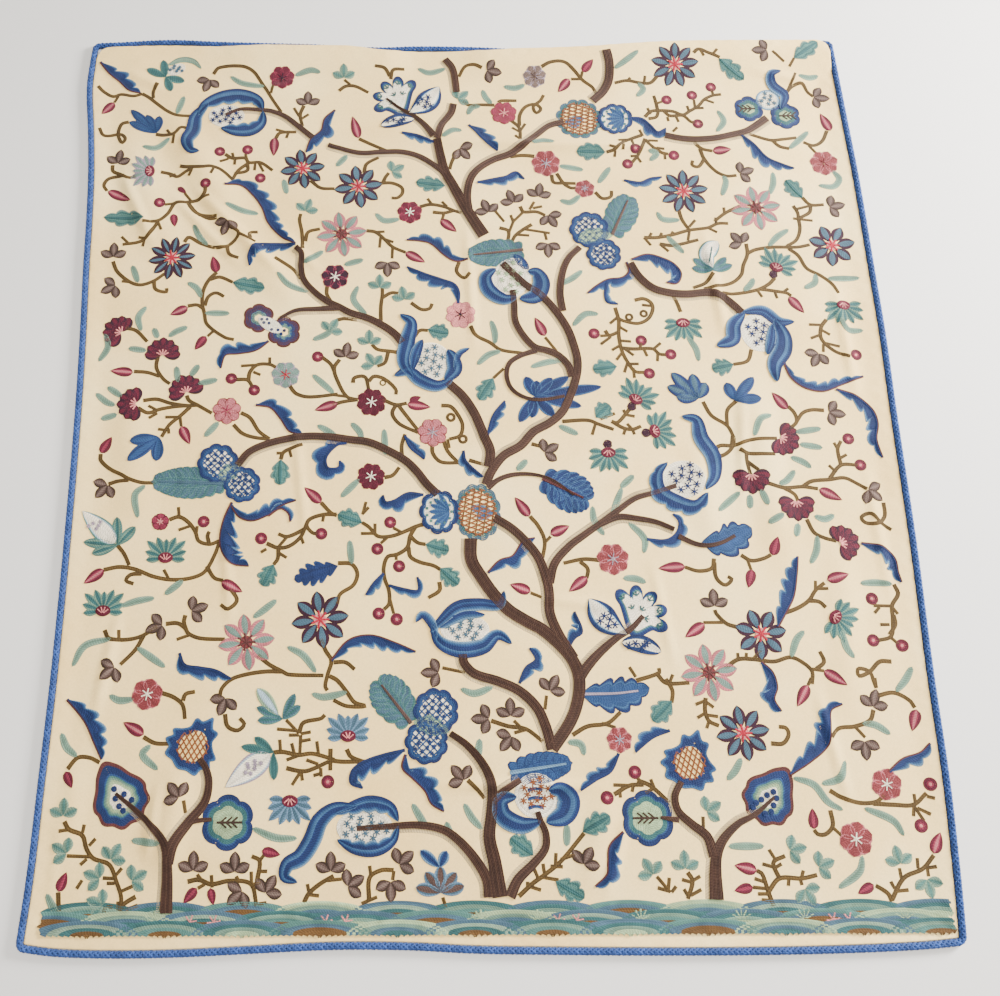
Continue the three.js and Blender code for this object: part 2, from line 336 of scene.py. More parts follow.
# Trunk and boughs in dark brown rows: points along, width at the base, width at the tip
BOUGHS = (
    ((0, 77, -3, 103, -20, 133, -47, 163, -73, 180, -113, 187, -160, 185, -213, 182), 15, 7),
    ((17, 77, 10, 130, 3, 167, 7, 200, 10, 233, 7, 260, -7, 287, -30, 313, -57, 332), 21, 9),
    ((33, 77, 47, 103, 73, 127, 93, 150, 95, 173, 87, 193, 83, 207), 15, 8),
    ((10, 223, 30, 240, 57, 257), 12, 8),
    ((112, 305, 103, 343, 90, 373, 63, 400, 27, 417, -13, 430, -30, 447, -33, 463), 15, 13),
    ((112, 305, 143, 347, 157, 377, 164, 412, 160, 440, 145, 466, 107, 503, 77, 520, 47, 540, 23, 567, 3,
      597,
      -13, 627, -13, 665), 17, 19),
    ((157, 455, 133, 497, 120, 533, 120, 573, 113, 607, 103, 633, 83, 660, 60, 683, 30, 703), 15, 13),
    ((163, 420, 178, 440, 200, 463, 233, 490, 258, 505, 280, 527), 16, 7),
    ((122, 585, 133, 620, 160, 650, 187, 670, 220, 693, 253, 717, 283, 737, 317, 747, 357, 760), 13, 7),
    ((215, 690, 250, 703, 283, 700, 317, 693, 347, 680), 11, 7),
    ((353, 667, 383, 653, 405, 650, 430, 656, 453, 668), 9, 5),
    ((17, 763, 27, 787, 50, 817, 83, 837, 107, 863, 137, 880, 160, 900, 173, 923, 190, 967, 195, 1000,
      190, 1033,
      180, 1067, 160, 1103, 133, 1137, 103, 1160, 63, 1203), 14, 12),
    ((30, 1263, 13, 1293, -7, 1330, -27, 1373, -43, 1407, -50, 1440, -57, 1477), 20, 14),
    ((23, 797, 27, 827, 17, 855, 13, 867, 0, 900, -20, 933, -47, 960), 15, 14),
    ((-130, 1040, -143, 1057, -163, 1073, -193, 1090, -227, 1102, -250, 1115, -273, 1127, -300, 1150,
      -317, 1173,
      -322, 1200, -322, 1227, -333, 1240), 13, 9),
    ((-250, 1112, -293, 1110, -330, 1107, -360, 1092), 10, 5),
    ((183, 970, 177, 993, 160, 1013, 140, 1023, 117, 1030, 97, 1053, 83, 1083, 82, 1117, 80, 1147), 12, 10),
    ((120, 1023, 90, 1013, 68, 997, 62, 973, 70, 947, 93, 930, 123, 925, 167, 932), 9, 5),
    ((173, 1103, 170, 1140, 177, 1183, 190, 1213, 213, 1237), 12, 10),
    ((307, 1203, 323, 1173, 347, 1150, 377, 1140, 410, 1137, 450, 1140, 473, 1133, 493, 1117, 510, 1098),
      13, 13),
    ((-70, 746, -90, 767, -107, 790, -127, 810, -160, 830, -193, 845, -227, 850, -260, 855, -303, 857,
      -337, 853, -377, 843,
      -410, 827, -430, 802), 13, 11),
    ((20, 757, 40, 773, 67, 782, 103, 782, 133, 773, 157, 757, 173, 743), 9, 3),
    ((-57, 1477, -47, 1510, -27, 1540, -22, 1560), 12, 12),
    ((-15, 1587, -17, 1613, -23, 1643, -37, 1663), 12, 12),
    ((-63, 1483, -83, 1513, -103, 1533, -130, 1550, -157, 1573), 12, 4),
    ((-40, 1397, -60, 1417, -93, 1440, -127, 1450, -167, 1450, -210, 1448, -260, 1462, -273, 1467), 10, 8),
    ((-303, 1483, -333, 1510, -360, 1533, -387, 1545, -407, 1548, -450, 1550, -480, 1537), 10, 6),
    ((3, 1313, 0, 1350, 7, 1387, 23, 1410, 53, 1430, 87, 1443, 113, 1460, 140, 1483, 167, 1507, 197,
      1517), 13, 11),
    ((258, 1565, 280, 1587, 293, 1613, 295, 1647, 290, 1677), 15, 15),
    ((397, 1485, 427, 1478, 460, 1475, 497, 1477, 533, 1485, 560, 1493, 583, 1508, 603, 1523), 11, 13),
    ((-517, 55, -518, 120, -523, 157, -540, 180, -570, 207, -610, 238), 18, 5),
    ((-518, 130, -510, 160, -487, 193, -463, 223, -457, 253, -463, 277, -475, 293), 16, 9),
    ((-500, 180, -483, 193, -450, 197), 9, 5),
    ((363, 72, 365, 113, 370, 140, 383, 163, 410, 187, 437, 200, 473, 228), 20, 4),
    ((365, 137, 357, 167, 333, 187, 313, 207, 310, 230, 322, 253), 14, 9),
    ((313, 193, 283, 197), 8, 4),
)
for points, wide, narrow in BOUGHS:
    path, width = band("boughs", points, 1.12 * wide, 1.12 * narrow, ("trunk", "trunk2", "trunk"), 1.4, 1.2)
    # a pale oatmeal shade lies along the left or lower side of each bough
    side = np.sign(left_of(path).mean(0) @ (-1, -0.35))
    for k, dye in enumerate(("oat2", "oat", "oat")):
        if wide > 9:
            lay("boughs", shift(path, side * (width / 2 + 0.8 + 2.2 * k)), 1.5, dye, 0.7)


# Small motifs. Angles are in degrees from +X, anticlockwise
def toward(x, y, angle, far):
    """The point that lies far from x, y at an angle."""
    return ray(x, y, angle, far, far)[:2]


def aster(x, y, radius, count, rim, fill, heart, star):
    """Long petals, each outlined, about a round heart with a star of straight stitches."""
    for k in range(count):
        leaf("flowers", ray(x, y, 360 * k / count + 8, 0.2 * radius, 1.06 * radius), 3.9 * radius / count,
            pointed, (rim, rim, fill))
    disc("flowers", x, y, 0.24 * radius, (heart,), lift=1.2)
    spokes("flowers", x, y, 0, 0.34 * radius, 7, star, half=1.7, lift=2.2)


def blossom(x, y, radius, count, rim, core, star):
    """A small round flower: broad petals with a rim and a darker core, and a star at the heart."""
    for k in range(count):
        petal_at = ray(x, y, 360 * k / count + 15, 0.1 * radius, radius)
        leaf("flowers", petal_at, 5.6 * radius / count, petal, (rim, core))
    spokes("flowers", x, y, 0, 0.38 * radius, 6, star, 20, lift=1.3)


def half_daisy(x, y, facing, rim, core, base):
    """Narrow petals fanned over half a turn, with a small dark heart that is rayed in pink."""
    for k in range(9):
        angle = facing - 96 + 24 * k
        far = 40 - 6 * np.cos(np.radians(4 * (angle - facing)))
        leaf("flowers", ray(x, y, angle, 7, far), 13, pointed, (rim, core))
    disc("flowers", x, y, 13, ("wine",), squash=0.7, turn=facing - 90, lift=1.2)
    spokes("flowers", *toward(x, y, facing, -5), 2, 12, 4, "pink", facing - 50, 135, 1.0, 2.2)
    if base:
        disc("flowers", *toward(x, y, facing, -16), 9, ("plum",), 5, 0.2, lift=0.4)


def carnation(x, y, facing):
    """A scalloped plum fan with a pink foot."""
    foot = toward(x, y, facing, -14)
    for k in range(7):
        angle = facing - 84 + 28 * k
        leaf("flowers", ray(*foot, angle, 3, 38 - 0.05 * abs(angle - facing)), 21, petal,
            ("plum", "plum", "wine"))
    spokes("flowers", *foot, 2, 13, 5, "pink", facing - 60, 150, 1.4, 1.4)


def trefoil(x, y, facing, bands, size=30):
    """Three rounded lobes on one foot."""
    foot = toward(x, y, facing, -9)
    for turn, share in ((-64, 0.9), (64, 0.9), (0, 1.05)):
        leaf("leaves", ray(*foot, facing + turn, 1, size * share), 0.58 * size, pointed, bands)


def frond(points, side, wide, russet):
    """A leaf whose body hangs on one side of its spine in leaning lobes, pale edged, navy at the spine."""
    lobes = max(2, round(len(line(points)) * STEP / 27))
    share = (1.0, 0.0) if side == "L" else (0.0, 1.0)
    leaf("fronds", points, 1.8 * wide, lobed(lobes, 0.45), ("pale", "mid", "blue", "navy", "navy"),
        *share, 0.0, 0.55)
    dyes = ("navy", "russet" if russet else "navy")
    band("fronds", points, 5, 4, dyes if side == "R" else dyes[::-1], 1.0)


# Asters with plum outlines: x, y, radius, petals
for x, y, radius, count in (
    (-323, 1413, 42, 8), (-213, 1372, 45, 8), (428, 1645, 46, 9), (423, 1358, 46, 9), (-570, 1218, 43, 10),
    (697, 1238, 42, 7), (-277, 523, 47, 8), (480, 495, 42, 7), (432, 330, 43, 8),
):
    aster(x, y, radius, count, "plum", "grey", "pink", "red")
# Asters with pink outlines: x, y
for x, y in ((560, 1320), (-245, 1268), (-403, 485), (385, 430)):
    aster(x, y, 46, 8, "dusty", "grey2", "brick", "russet")
# Round flowers: x, y, radius, petals, rim, core, star
for flower in (
    (-368, 1622, 26, 7, "rose", "wine", "plum"), (78, 1538, 27, 7, "brick", "rose", "pink"),
    (157, 1422, 29, 7, "dusty", "brick", "mauve"), (230, 1365, 20, 6, "dusty", "brick", "mauve"),
    (705, 1420, 28, 7, "dusty", "brick", "brick"), (143, 1620, 24, 7, "mauve", "taupe2", "taupe"),
    (-113, 1315, 25, 7, "rose", "wine", "white"), (-257, 1177, 27, 7, "rose", "plum", "white"),
    (-453, 907, 27, 7, "brick", "dusty", "rose"), (-347, 977, 27, 7, "mauve", "grey2", "red"),
    (-20, 1097, 29, 8, "dusty", "pink", "plum"), (-188, 922, 28, 8, "wine", "plumred", "white"),
    (-77, 863, 28, 7, "brick", "dusty", "mauve"), (-189, 780, 26, 8, "wine", "plumred", "white"),
    (235, 627, 29, 7, "dusty", "brick", "mauve"), (-563, 698, 16, 5, "wine", "rose", "pink"),
    (-568, 398, 27, 6, "dusty", "brick", "white"), (225, 320, 22, 7, "dusty", "brick", "mauve"),
    (598, 162, 28, 6, "dusty", "brick", "white"), (660, 247, 26, 6, "dusty", "brick", "white"),
):
    blossom(*flower)
# Half daisies: x, y, facing, rim, core, plum base
for daisy in (
    (585, 1192, 65, "aqua", "teal", 1), (397, 1078, 270, "aqua", "teal", 0),
    (702, 1112, 270, "aqua", "teal", 0),
    (297, 925, 60, "aqua", "teal", 1), (327, 863, 10, "aqua", "teal", 1),
    (240, 823, 270, "aqua", "teal", 1),
    (-550, 633, 90, "aqua", "teal", 0), (-653, 540, 90, "aqua", "teal", 0),
    (610, 523, -30, "aqua", "teal", 0),
    (-323, 225, 270, "pale", "grey", 0), (-228, 328, 90, "pale", "grey", 0),
    (-623, 1407, 180, "mauve", "grey2", 0),
):
    half_daisy(*daisy)
# Carnations: x, y, facing
for flower in (
    (-668, 1070, 150), (-577, 1030, 90), (-533, 955, 110), (-632, 920, 180), (565, 843, -30),
    (493, 767, 270),
    (568, 717, 270), (648, 657, 20),
):
    carnation(*flower)
# Berries: x, y
for x, y in (
    (-488, 1453), (-433, 1457), (-406, 1393), (-512, 1378), (-600, 1337), (407, 1567), (459, 1578),
    (499, 1597),
    (465, 1511), (335, 1453), (318, 1420), (411, 1439), (-447, 970), (-404, 947), (-288, 1013), (229, 1057),
    (316, 1042), (369, 1014), (326, 976), (713, 1011), (677, 847), (692, 797), (-486, 698), (-277, 675),
    (-383, 667), (-155, 695), (-178, 647), (-140, 616), (-176, 533), (-145, 523), (679, 555), (671, 483),
    (719, 474), (-261, 255), (247, 268), (198, 228), (731, 247), (707, 182),
):
    disc("flowers", x, y, 11, ("wine", "wine", "rose", "pink"))
# Buds: base x, y, tip x, y
for bud in (
    (-705, 1567, -728, 1540), (-380, 1484, -381, 1443), (-703, 1365, -657, 1342), (-567, 1373, -550, 1360),
    (-572, 1313, -568, 1285), (-213, 1482, -225, 1532), (213, 1615, 190, 1587), (240, 1630, 262, 1655),
    (727, 1493, 712, 1533), (488, 1447, 524, 1450), (-483, 1188, -492, 1222), (-535, 1115, -567, 1100),
    (-498, 1055, -517, 1028), (-630, 983, -672, 987), (-535, 877, -518, 843), (-250, 920, -292, 907),
    (-122, 1228, -85, 1207), (-53, 1298, -23, 1272), (137, 1053, 120, 1090), (602, 1130, 627, 1097),
    (573, 905, 548, 937), (-678, 827, -660, 857), (-657, 612, -690, 588), (-450, 590, -413, 572),
    (-278, 732, -308, 760), (92, 705, 68, 740), (128, 672, 162, 687), (88, 570, 53, 583),
    (188, 595, 155, 570),
    (360, 613, 313, 610), (515, 632, 527, 665), (477, 607, 467, 575), (612, 752, 650, 732),
    (385, 513, 350, 490),
    (605, 588, 643, 598), (580, 432, 615, 408), (550, 408, 528, 373), (-570, 332, -605, 352),
    (-695, 273, -682, 247), (-692, 88, -681, 117), (-470, 92, -490, 70), (-448, 92, -442, 67),
    (-367, 148, -337, 142), (532, 178, 533, 210), (727, 367, 715, 332), (432, 115, 397, 123),
    (423, 90, 393, 85),
    (617, 93, 590, 80), (720, 140, 735, 172), (-122, 918, -80, 912), (-118, 925, -97, 932),
):
    length = np.hypot(bud[2] - bud[0], bud[3] - bud[1])
    leaf("flowers", bud, min(19, 0.52 * length), drop, ("wine", "wine", "rose", "dusty"))
# Brown trefoils, then aqua ones: x, y, facing
for x, y, facing in (
    (-518, 1613, 250), (-315, 1570, 90), (-687, 1435, 80), (55, 1632, -10), (-7, 1450, -50),
    (37, 1322, 110),
    (87, 1343, 110), (140, 1357, 80), (160, 1300, -60), (607, 1675, 180), (545, 1400, 20), (712, 1570, -10),
    (712, 1323, 10), (-468, 1287, 250), (-683, 1230, 90), (-682, 1157, 210), (-157, 1198, 270),
    (152, 1237, 270),
    (-235, 1020, 80), (520, 1250, 130), (640, 1007, 240), (657, 897, -10), (-667, 760, 230), (132, 828, 30),
    (705, 745, -40), (405, 552, 90), (-83, 432, 180), (117, 408, 60), (-557, 512, 200), (-492, 542, 20),
    (-633, 438, 220), (-438, 383, 250), (-510, 238, 130), (-477, 127, 90), (-410, 125, 90), (-403, 82, 220),
    (-355, 92, 60), (-255, 125, 90), (-220, 98, 30), (-138, 132, 40), (-158, 92, 270), (0, 355, 180),
    (45, 368, 90), (40, 320, 230), (157, 133, 60), (-42, 263, 130), (657, 380, 70), (633, 307, 270),
):
    trefoil(x, y, facing, ("bark", "taupe", "taupe2"))
for x, y, facing in (
    (-693, 212, 90), (-690, 150, 150), (-607, 143, 60), (-635, 110, 160), (-568, 108, 30), (-627, 70, 160),
    (317, 127, 90), (260, 117, 120), (497, 147, 10), (540, 123, 20), (510, 80, -60), (663, 133, 100),
    (705, 92, -80), (367, 210, 30), (-172, 1162, 90), (-127, 1137, 100), (-192, 1047, 90),
    (-187, 1002, 120),
    (-243, 1630, 90), (-140, 1410, 30), (-313, 1327, 70), (-7, 1577, 40), (-262, 1072, 60),
):
    trefoil(x, y, facing, ("aqua2", "aqua", "teal2"), 28)
# Oak leaves: base x, y, tip x, y
for oak in (
    (-628, 1303, -707, 1307), (-43, 1373, -100, 1382), (518, 1657, 567, 1613), (670, 1657, 720, 1693),
    (653, 1342, 625, 1382), (-452, 1167, -390, 1153), (275, 1445, 218, 1447), (37, 968, 10, 925),
    (267, 990, 222, 985), (-352, 813, -352, 765), (-360, 620, -378, 582), (-205, 695, -248, 710),
    (-93, 655, -52, 643), (-68, 612, -37, 583), (317, 383, 283, 350), (73, 140, 37, 167),
    (155, 175, 200, 200),
    (107, 100, 152, 75), (-82, 1067, -43, 1058), (483, 993, 443, 985), (222, 890, 248, 915),
):
    leaf("leaves", oak, 38, lobed(3, 0.4), ("grey2", "teal2", "teal", "teal2"), lean=0.35)
    leaf("leaves", oak, 6, blade, ("teal",), lift=1.2)
# Aqua blades: points from base to tip
for points in (
    (-565, 1582, -578, 1540), (-473, 1627, -450, 1612, -403, 1603), (-342, 1627, -310, 1638, -290, 1633),
    (-642, 1465, -615, 1462, -588, 1483), (-472, 1335, -440, 1320, -407, 1313), (-360, 1390, -353, 1357),
    (-93, 1643, -70, 1633, -37, 1642), (-47, 1482, -25, 1497, -7, 1495), (37, 1593, 43, 1575, 55, 1560),
    (32, 1555, 15, 1552, 5, 1535), (80, 1600, 103, 1596, 123, 1603), (130, 1465, 152, 1470, 175, 1467),
    (183, 1417, 207, 1412, 230, 1407), (180, 1340, 200, 1335, 220, 1350), (-235, 1443, -257, 1418),
    (-180, 1313, -163, 1297, -133, 1300), (355, 1675, 330, 1655, 305, 1637),
    (352, 1607, 362, 1593, 347, 1575),
    (507, 1542, 517, 1517, 500, 1492), (677, 1622, 698, 1616, 718, 1620), (683, 1492, 660, 1470, 640, 1452),
    (503, 1393, 508, 1380, 497, 1348), (283, 1413, 257, 1377), (602, 1400, 600, 1375, 590, 1350),
    (367, 1313, 377, 1297, 410, 1295), (720, 1403, 730, 1383, 717, 1367, 688, 1370),
    (360, 1450, 377, 1443, 362, 1427),
    (-532, 1290, -520, 1265, -503, 1245), (-645, 1203, -632, 1167), (-538, 1167, -520, 1155, -510, 1135),
    (-502, 1103, -455, 1102), (-280, 1232, -317, 1207), (-367, 1185, -345, 1160, -308, 1145),
    (-613, 1117, -627, 1095, -620, 1067), (-687, 1062, -680, 1035, -695, 1005), (-597, 1073, -588, 1052),
    (-533, 1075, -555, 1065, -568, 1055), (-642, 1032, -608, 1027), (-550, 995, -545, 963),
    (-508, 998, -523, 975),
    (-472, 968, -508, 960), (-675, 955, -647, 935), (-695, 942, -675, 925, -658, 918),
    (-683, 892, -653, 900),
    (-467, 885, -492, 857), (-297, 977, -257, 940), (-287, 878, -265, 865, -250, 853),
    (-298, 1047, -270, 1060, -260, 1075),
    (215, 1188, 195, 1172, 170, 1158), (240, 1097, 215, 1097, 190, 1073), (37, 1085, 43, 1060, 43, 1037),
    (53, 1022, 30, 1015, 8, 995), (170, 1003, 140, 1000, 107, 990), (-203, 1213, -220, 1208, -240, 1202),
    (-213, 1158, -222, 1130, -197, 1097), (153, 875, 188, 858), (-225, 882, -210, 865, -205, 850),
    (-165, 870, -163, 820), (382, 1260, 395, 1243, 412, 1223), (618, 1273, 595, 1258, 575, 1237),
    (540, 1170, 533, 1157, 518, 1143), (658, 1178, 655, 1160, 633, 1148), (680, 1168, 740, 1168),
    (403, 1050, 417, 1025, 420, 1000), (692, 1085, 705, 1062, 733, 1060), (630, 867, 583, 860),
    (542, 893, 520, 885, 505, 852), (-593, 765, -610, 747, -603, 705), (-517, 593, -548, 568),
    (-565, 562, -595, 557, -623, 548), (-635, 492, -680, 480, -698, 445), (-590, 477, -568, 462, -540, 443),
    (-353, 558, -375, 540, -393, 527), (-333, 477, -305, 462, -283, 433), (-210, 775, -243, 742),
    (93, 810, 73, 790),
    (-227, 663, -223, 620), (205, 723, 207, 695, 223, 670), (260, 757, 245, 720, 237, 693),
    (267, 693, 293, 663, 290, 637),
    (283, 780, 257, 757), (250, 593, 272, 592, 290, 585), (587, 837, 628, 830),
    (568, 813, 590, 803, 603, 792),
    (470, 748, 428, 713), (487, 743, 485, 717), (507, 752, 517, 723), (573, 788, 555, 768, 540, 762),
    (543, 707, 513, 690), (567, 690, 560, 665), (597, 703, 615, 697, 633, 705),
    (598, 667, 593, 640, 580, 617),
    (662, 582, 690, 583, 717, 580), (617, 500, 622, 470, 633, 453), (555, 500, 540, 485, 527, 455),
    (730, 438, 715, 415, 697, 397), (-632, 397, -615, 388, -590, 390), (-557, 315, -570, 300, -543, 275),
    (-383, 183, -345, 168, -310, 167), (-580, 165, -532, 160), (-707, 335, -697, 312, -678, 297),
    (-710, 85, -700, 67, -682, 43), (-290, 398, -270, 392, -230, 400), (-122, 220, -110, 200, -97, 180),
    (-67, 192, -60, 172, -47, 162), (-37, 220, -25, 198, -8, 180), (-8, 323, -12, 290),
    (-38, 405, -15, 397, 17, 408),
    (130, 187, 128, 153), (138, 317, 160, 313, 165, 295), (390, 152, 448, 152),
    (425, 290, 413, 270, 398, 255),
    (597, 285, 583, 257, 553, 248), (507, 258, 540, 247, 560, 220, 583, 207),
    (618, 210, 663, 190, 677, 167),
    (605, 137, 597, 113, 560, 88), (633, 345, 655, 342, 678, 327),
):
    leaf("leaves", points, 12, strap, ("aqua2", "aqua", "teal2"))


# Fronds: points along the spine, side that the body hangs on, its width, whether the spine is russet
for points, side, wide, russet in (
    ((-738, 1660, -720, 1637, -697, 1617, -677, 1597, -653, 1590), "L", 28, 1),
    ((-475, 1377, -443, 1377, -417, 1353, -400, 1327, -387, 1293, -360, 1262, -333, 1247), "L", 30, 1),
    ((-260, 1547, -280, 1527, -287, 1500, -307, 1480, -317, 1450), "L", 28, 1),
    ((-333, 1245, -377, 1247, -410, 1243, -423, 1223, -420, 1200), "L", 26, 0),
    ((-380, 1045, -403, 1027, -437, 1020, -460, 1017, -468, 990), "R", 26, 1),
    ((-400, 918, -373, 913, -353, 890, -337, 867, -313, 860), "L", 26, 1),
    ((-3, 1212, -27, 1210, -47, 1222, -73, 1247, -93, 1253, -120, 1255), "R", 24, 1),
    ((-24, 1120, -22, 1143, -30, 1160, -53, 1170, -80, 1180, -120, 1197), "L", 26, 0),
    ((23, 857, 35, 895, 57, 923), "R", 20, 0),
    ((310, 1210, 340, 1220, 367, 1213, 390, 1200, 402, 1180, 393, 1160, 373, 1162), "R", 30, 1),
    ((300, 1205, 304, 1185, 290, 1172, 262, 1168, 240, 1155, 222, 1140), "L", 20, 1),
    ((262, 1165, 255, 1140, 258, 1122, 278, 1117), "L", 13, 0),
    ((577, 997, 587, 967, 610, 947, 643, 940, 677, 952, 720, 968), "L", 22, 1),
    ((667, 943, 700, 930, 727, 903, 733, 877, 727, 845, 733, 810), "R", 26, 1),
    ((-437, 733, -450, 700, -455, 667, -450, 643, -433, 623, -403, 618), "L", 40, 1),
    ((-437, 727, -423, 707, -400, 700, -373, 710, -350, 727, -323, 737), "L", 24, 1),
    ((-372, 708, -350, 722, -335, 712, -332, 697), "L", 12, 1),
    ((-233, 843, -250, 840, -270, 817, -267, 797, -247, 797, -245, 810), "R", 28, 0),
    ((-517, 467, -507, 447, -480, 442, -453, 437, -427, 423), "R", 24, 0),
    ((-257, 453, -227, 487, -190, 495, -150, 483, -113, 467), "R", 26, 1),
    ((-127, 857, -118, 835, -92, 812), "L", 20, 0),
    ((-22, 828, -18, 808, 12, 778), "R", 18, 0),
    ((-95, 745, -123, 748, -147, 735, -163, 732, -168, 745), "L", 26, 0),
    ((-167, 603, -185, 585, -198, 565), "L", 16, 0),
    ((-158, 582, -130, 575, -107, 573, -108, 597), "R", 14, 0),
    ((15, 603, 37, 625, 60, 633, 80, 660, 100, 665), "R", 24, 1),
    ((62, 413, 75, 440, 92, 453, 82, 473), "R", 22, 0),
    ((148, 473, 160, 490, 173, 500, 162, 535), "L", 20, 0),
    ((297, 662, 330, 660, 350, 672, 357, 693, 347, 708), "R", 20, 0),
    ((673, 653, 707, 647, 727, 627, 730, 600, 733, 583), "R", 26, 1),
    ((510, 507, 527, 533, 543, 560, 553, 600, 558, 630), "L", 30, 1),
    ((475, 447, 492, 430, 497, 405, 490, 385, 500, 365), "R", 30, 1),
    ((-702, 390, -683, 370, -667, 350, -653, 323, -637, 292), "L", 30, 1),
    ((-133, 305, -170, 297, -200, 287, -220, 273, -223, 253, -203, 245), "L", 30, 0),
    ((-132, 298, -137, 277, -120, 260, -100, 240, -90, 220, -70, 208), "L", 30, 1),
    ((222, 298, 207, 270, 183, 257, 155, 240), "R", 20, 0),
    ((220, 175, 197, 153, 193, 127, 190, 110, 170, 92), "L", 26, 1),
    ((310, 335, 283, 325, 262, 310, 250, 300), "R", 20, 0),
    ((503, 263, 543, 287, 570, 310, 578, 343, 583, 367, 603, 377), "L", 32, 1),
    ((667, 267, 693, 287, 723, 297, 740, 312), "R", 22, 1),
    ((7, 1510, 20, 1493, 40, 1467, 63, 1450), "L", 26, 0),
    ((20, 1380, 50, 1387, 77, 1393, 97, 1403, 113, 1387), "R", 20, 0),
    ((-127, 1492, -95, 1485, -63, 1470), "R", 16, 0),
    ((327, 1525, 353, 1523, 370, 1507, 383, 1492, 400, 1500), "R", 26, 0),
    ((547, 1483, 570, 1460, 593, 1433, 617, 1420, 645, 1408), "R", 24, 0),
    ((308, 1383, 340, 1378, 360, 1387, 383, 1390), "R", 14, 0),
):
    frond(points, side, wide, russet)

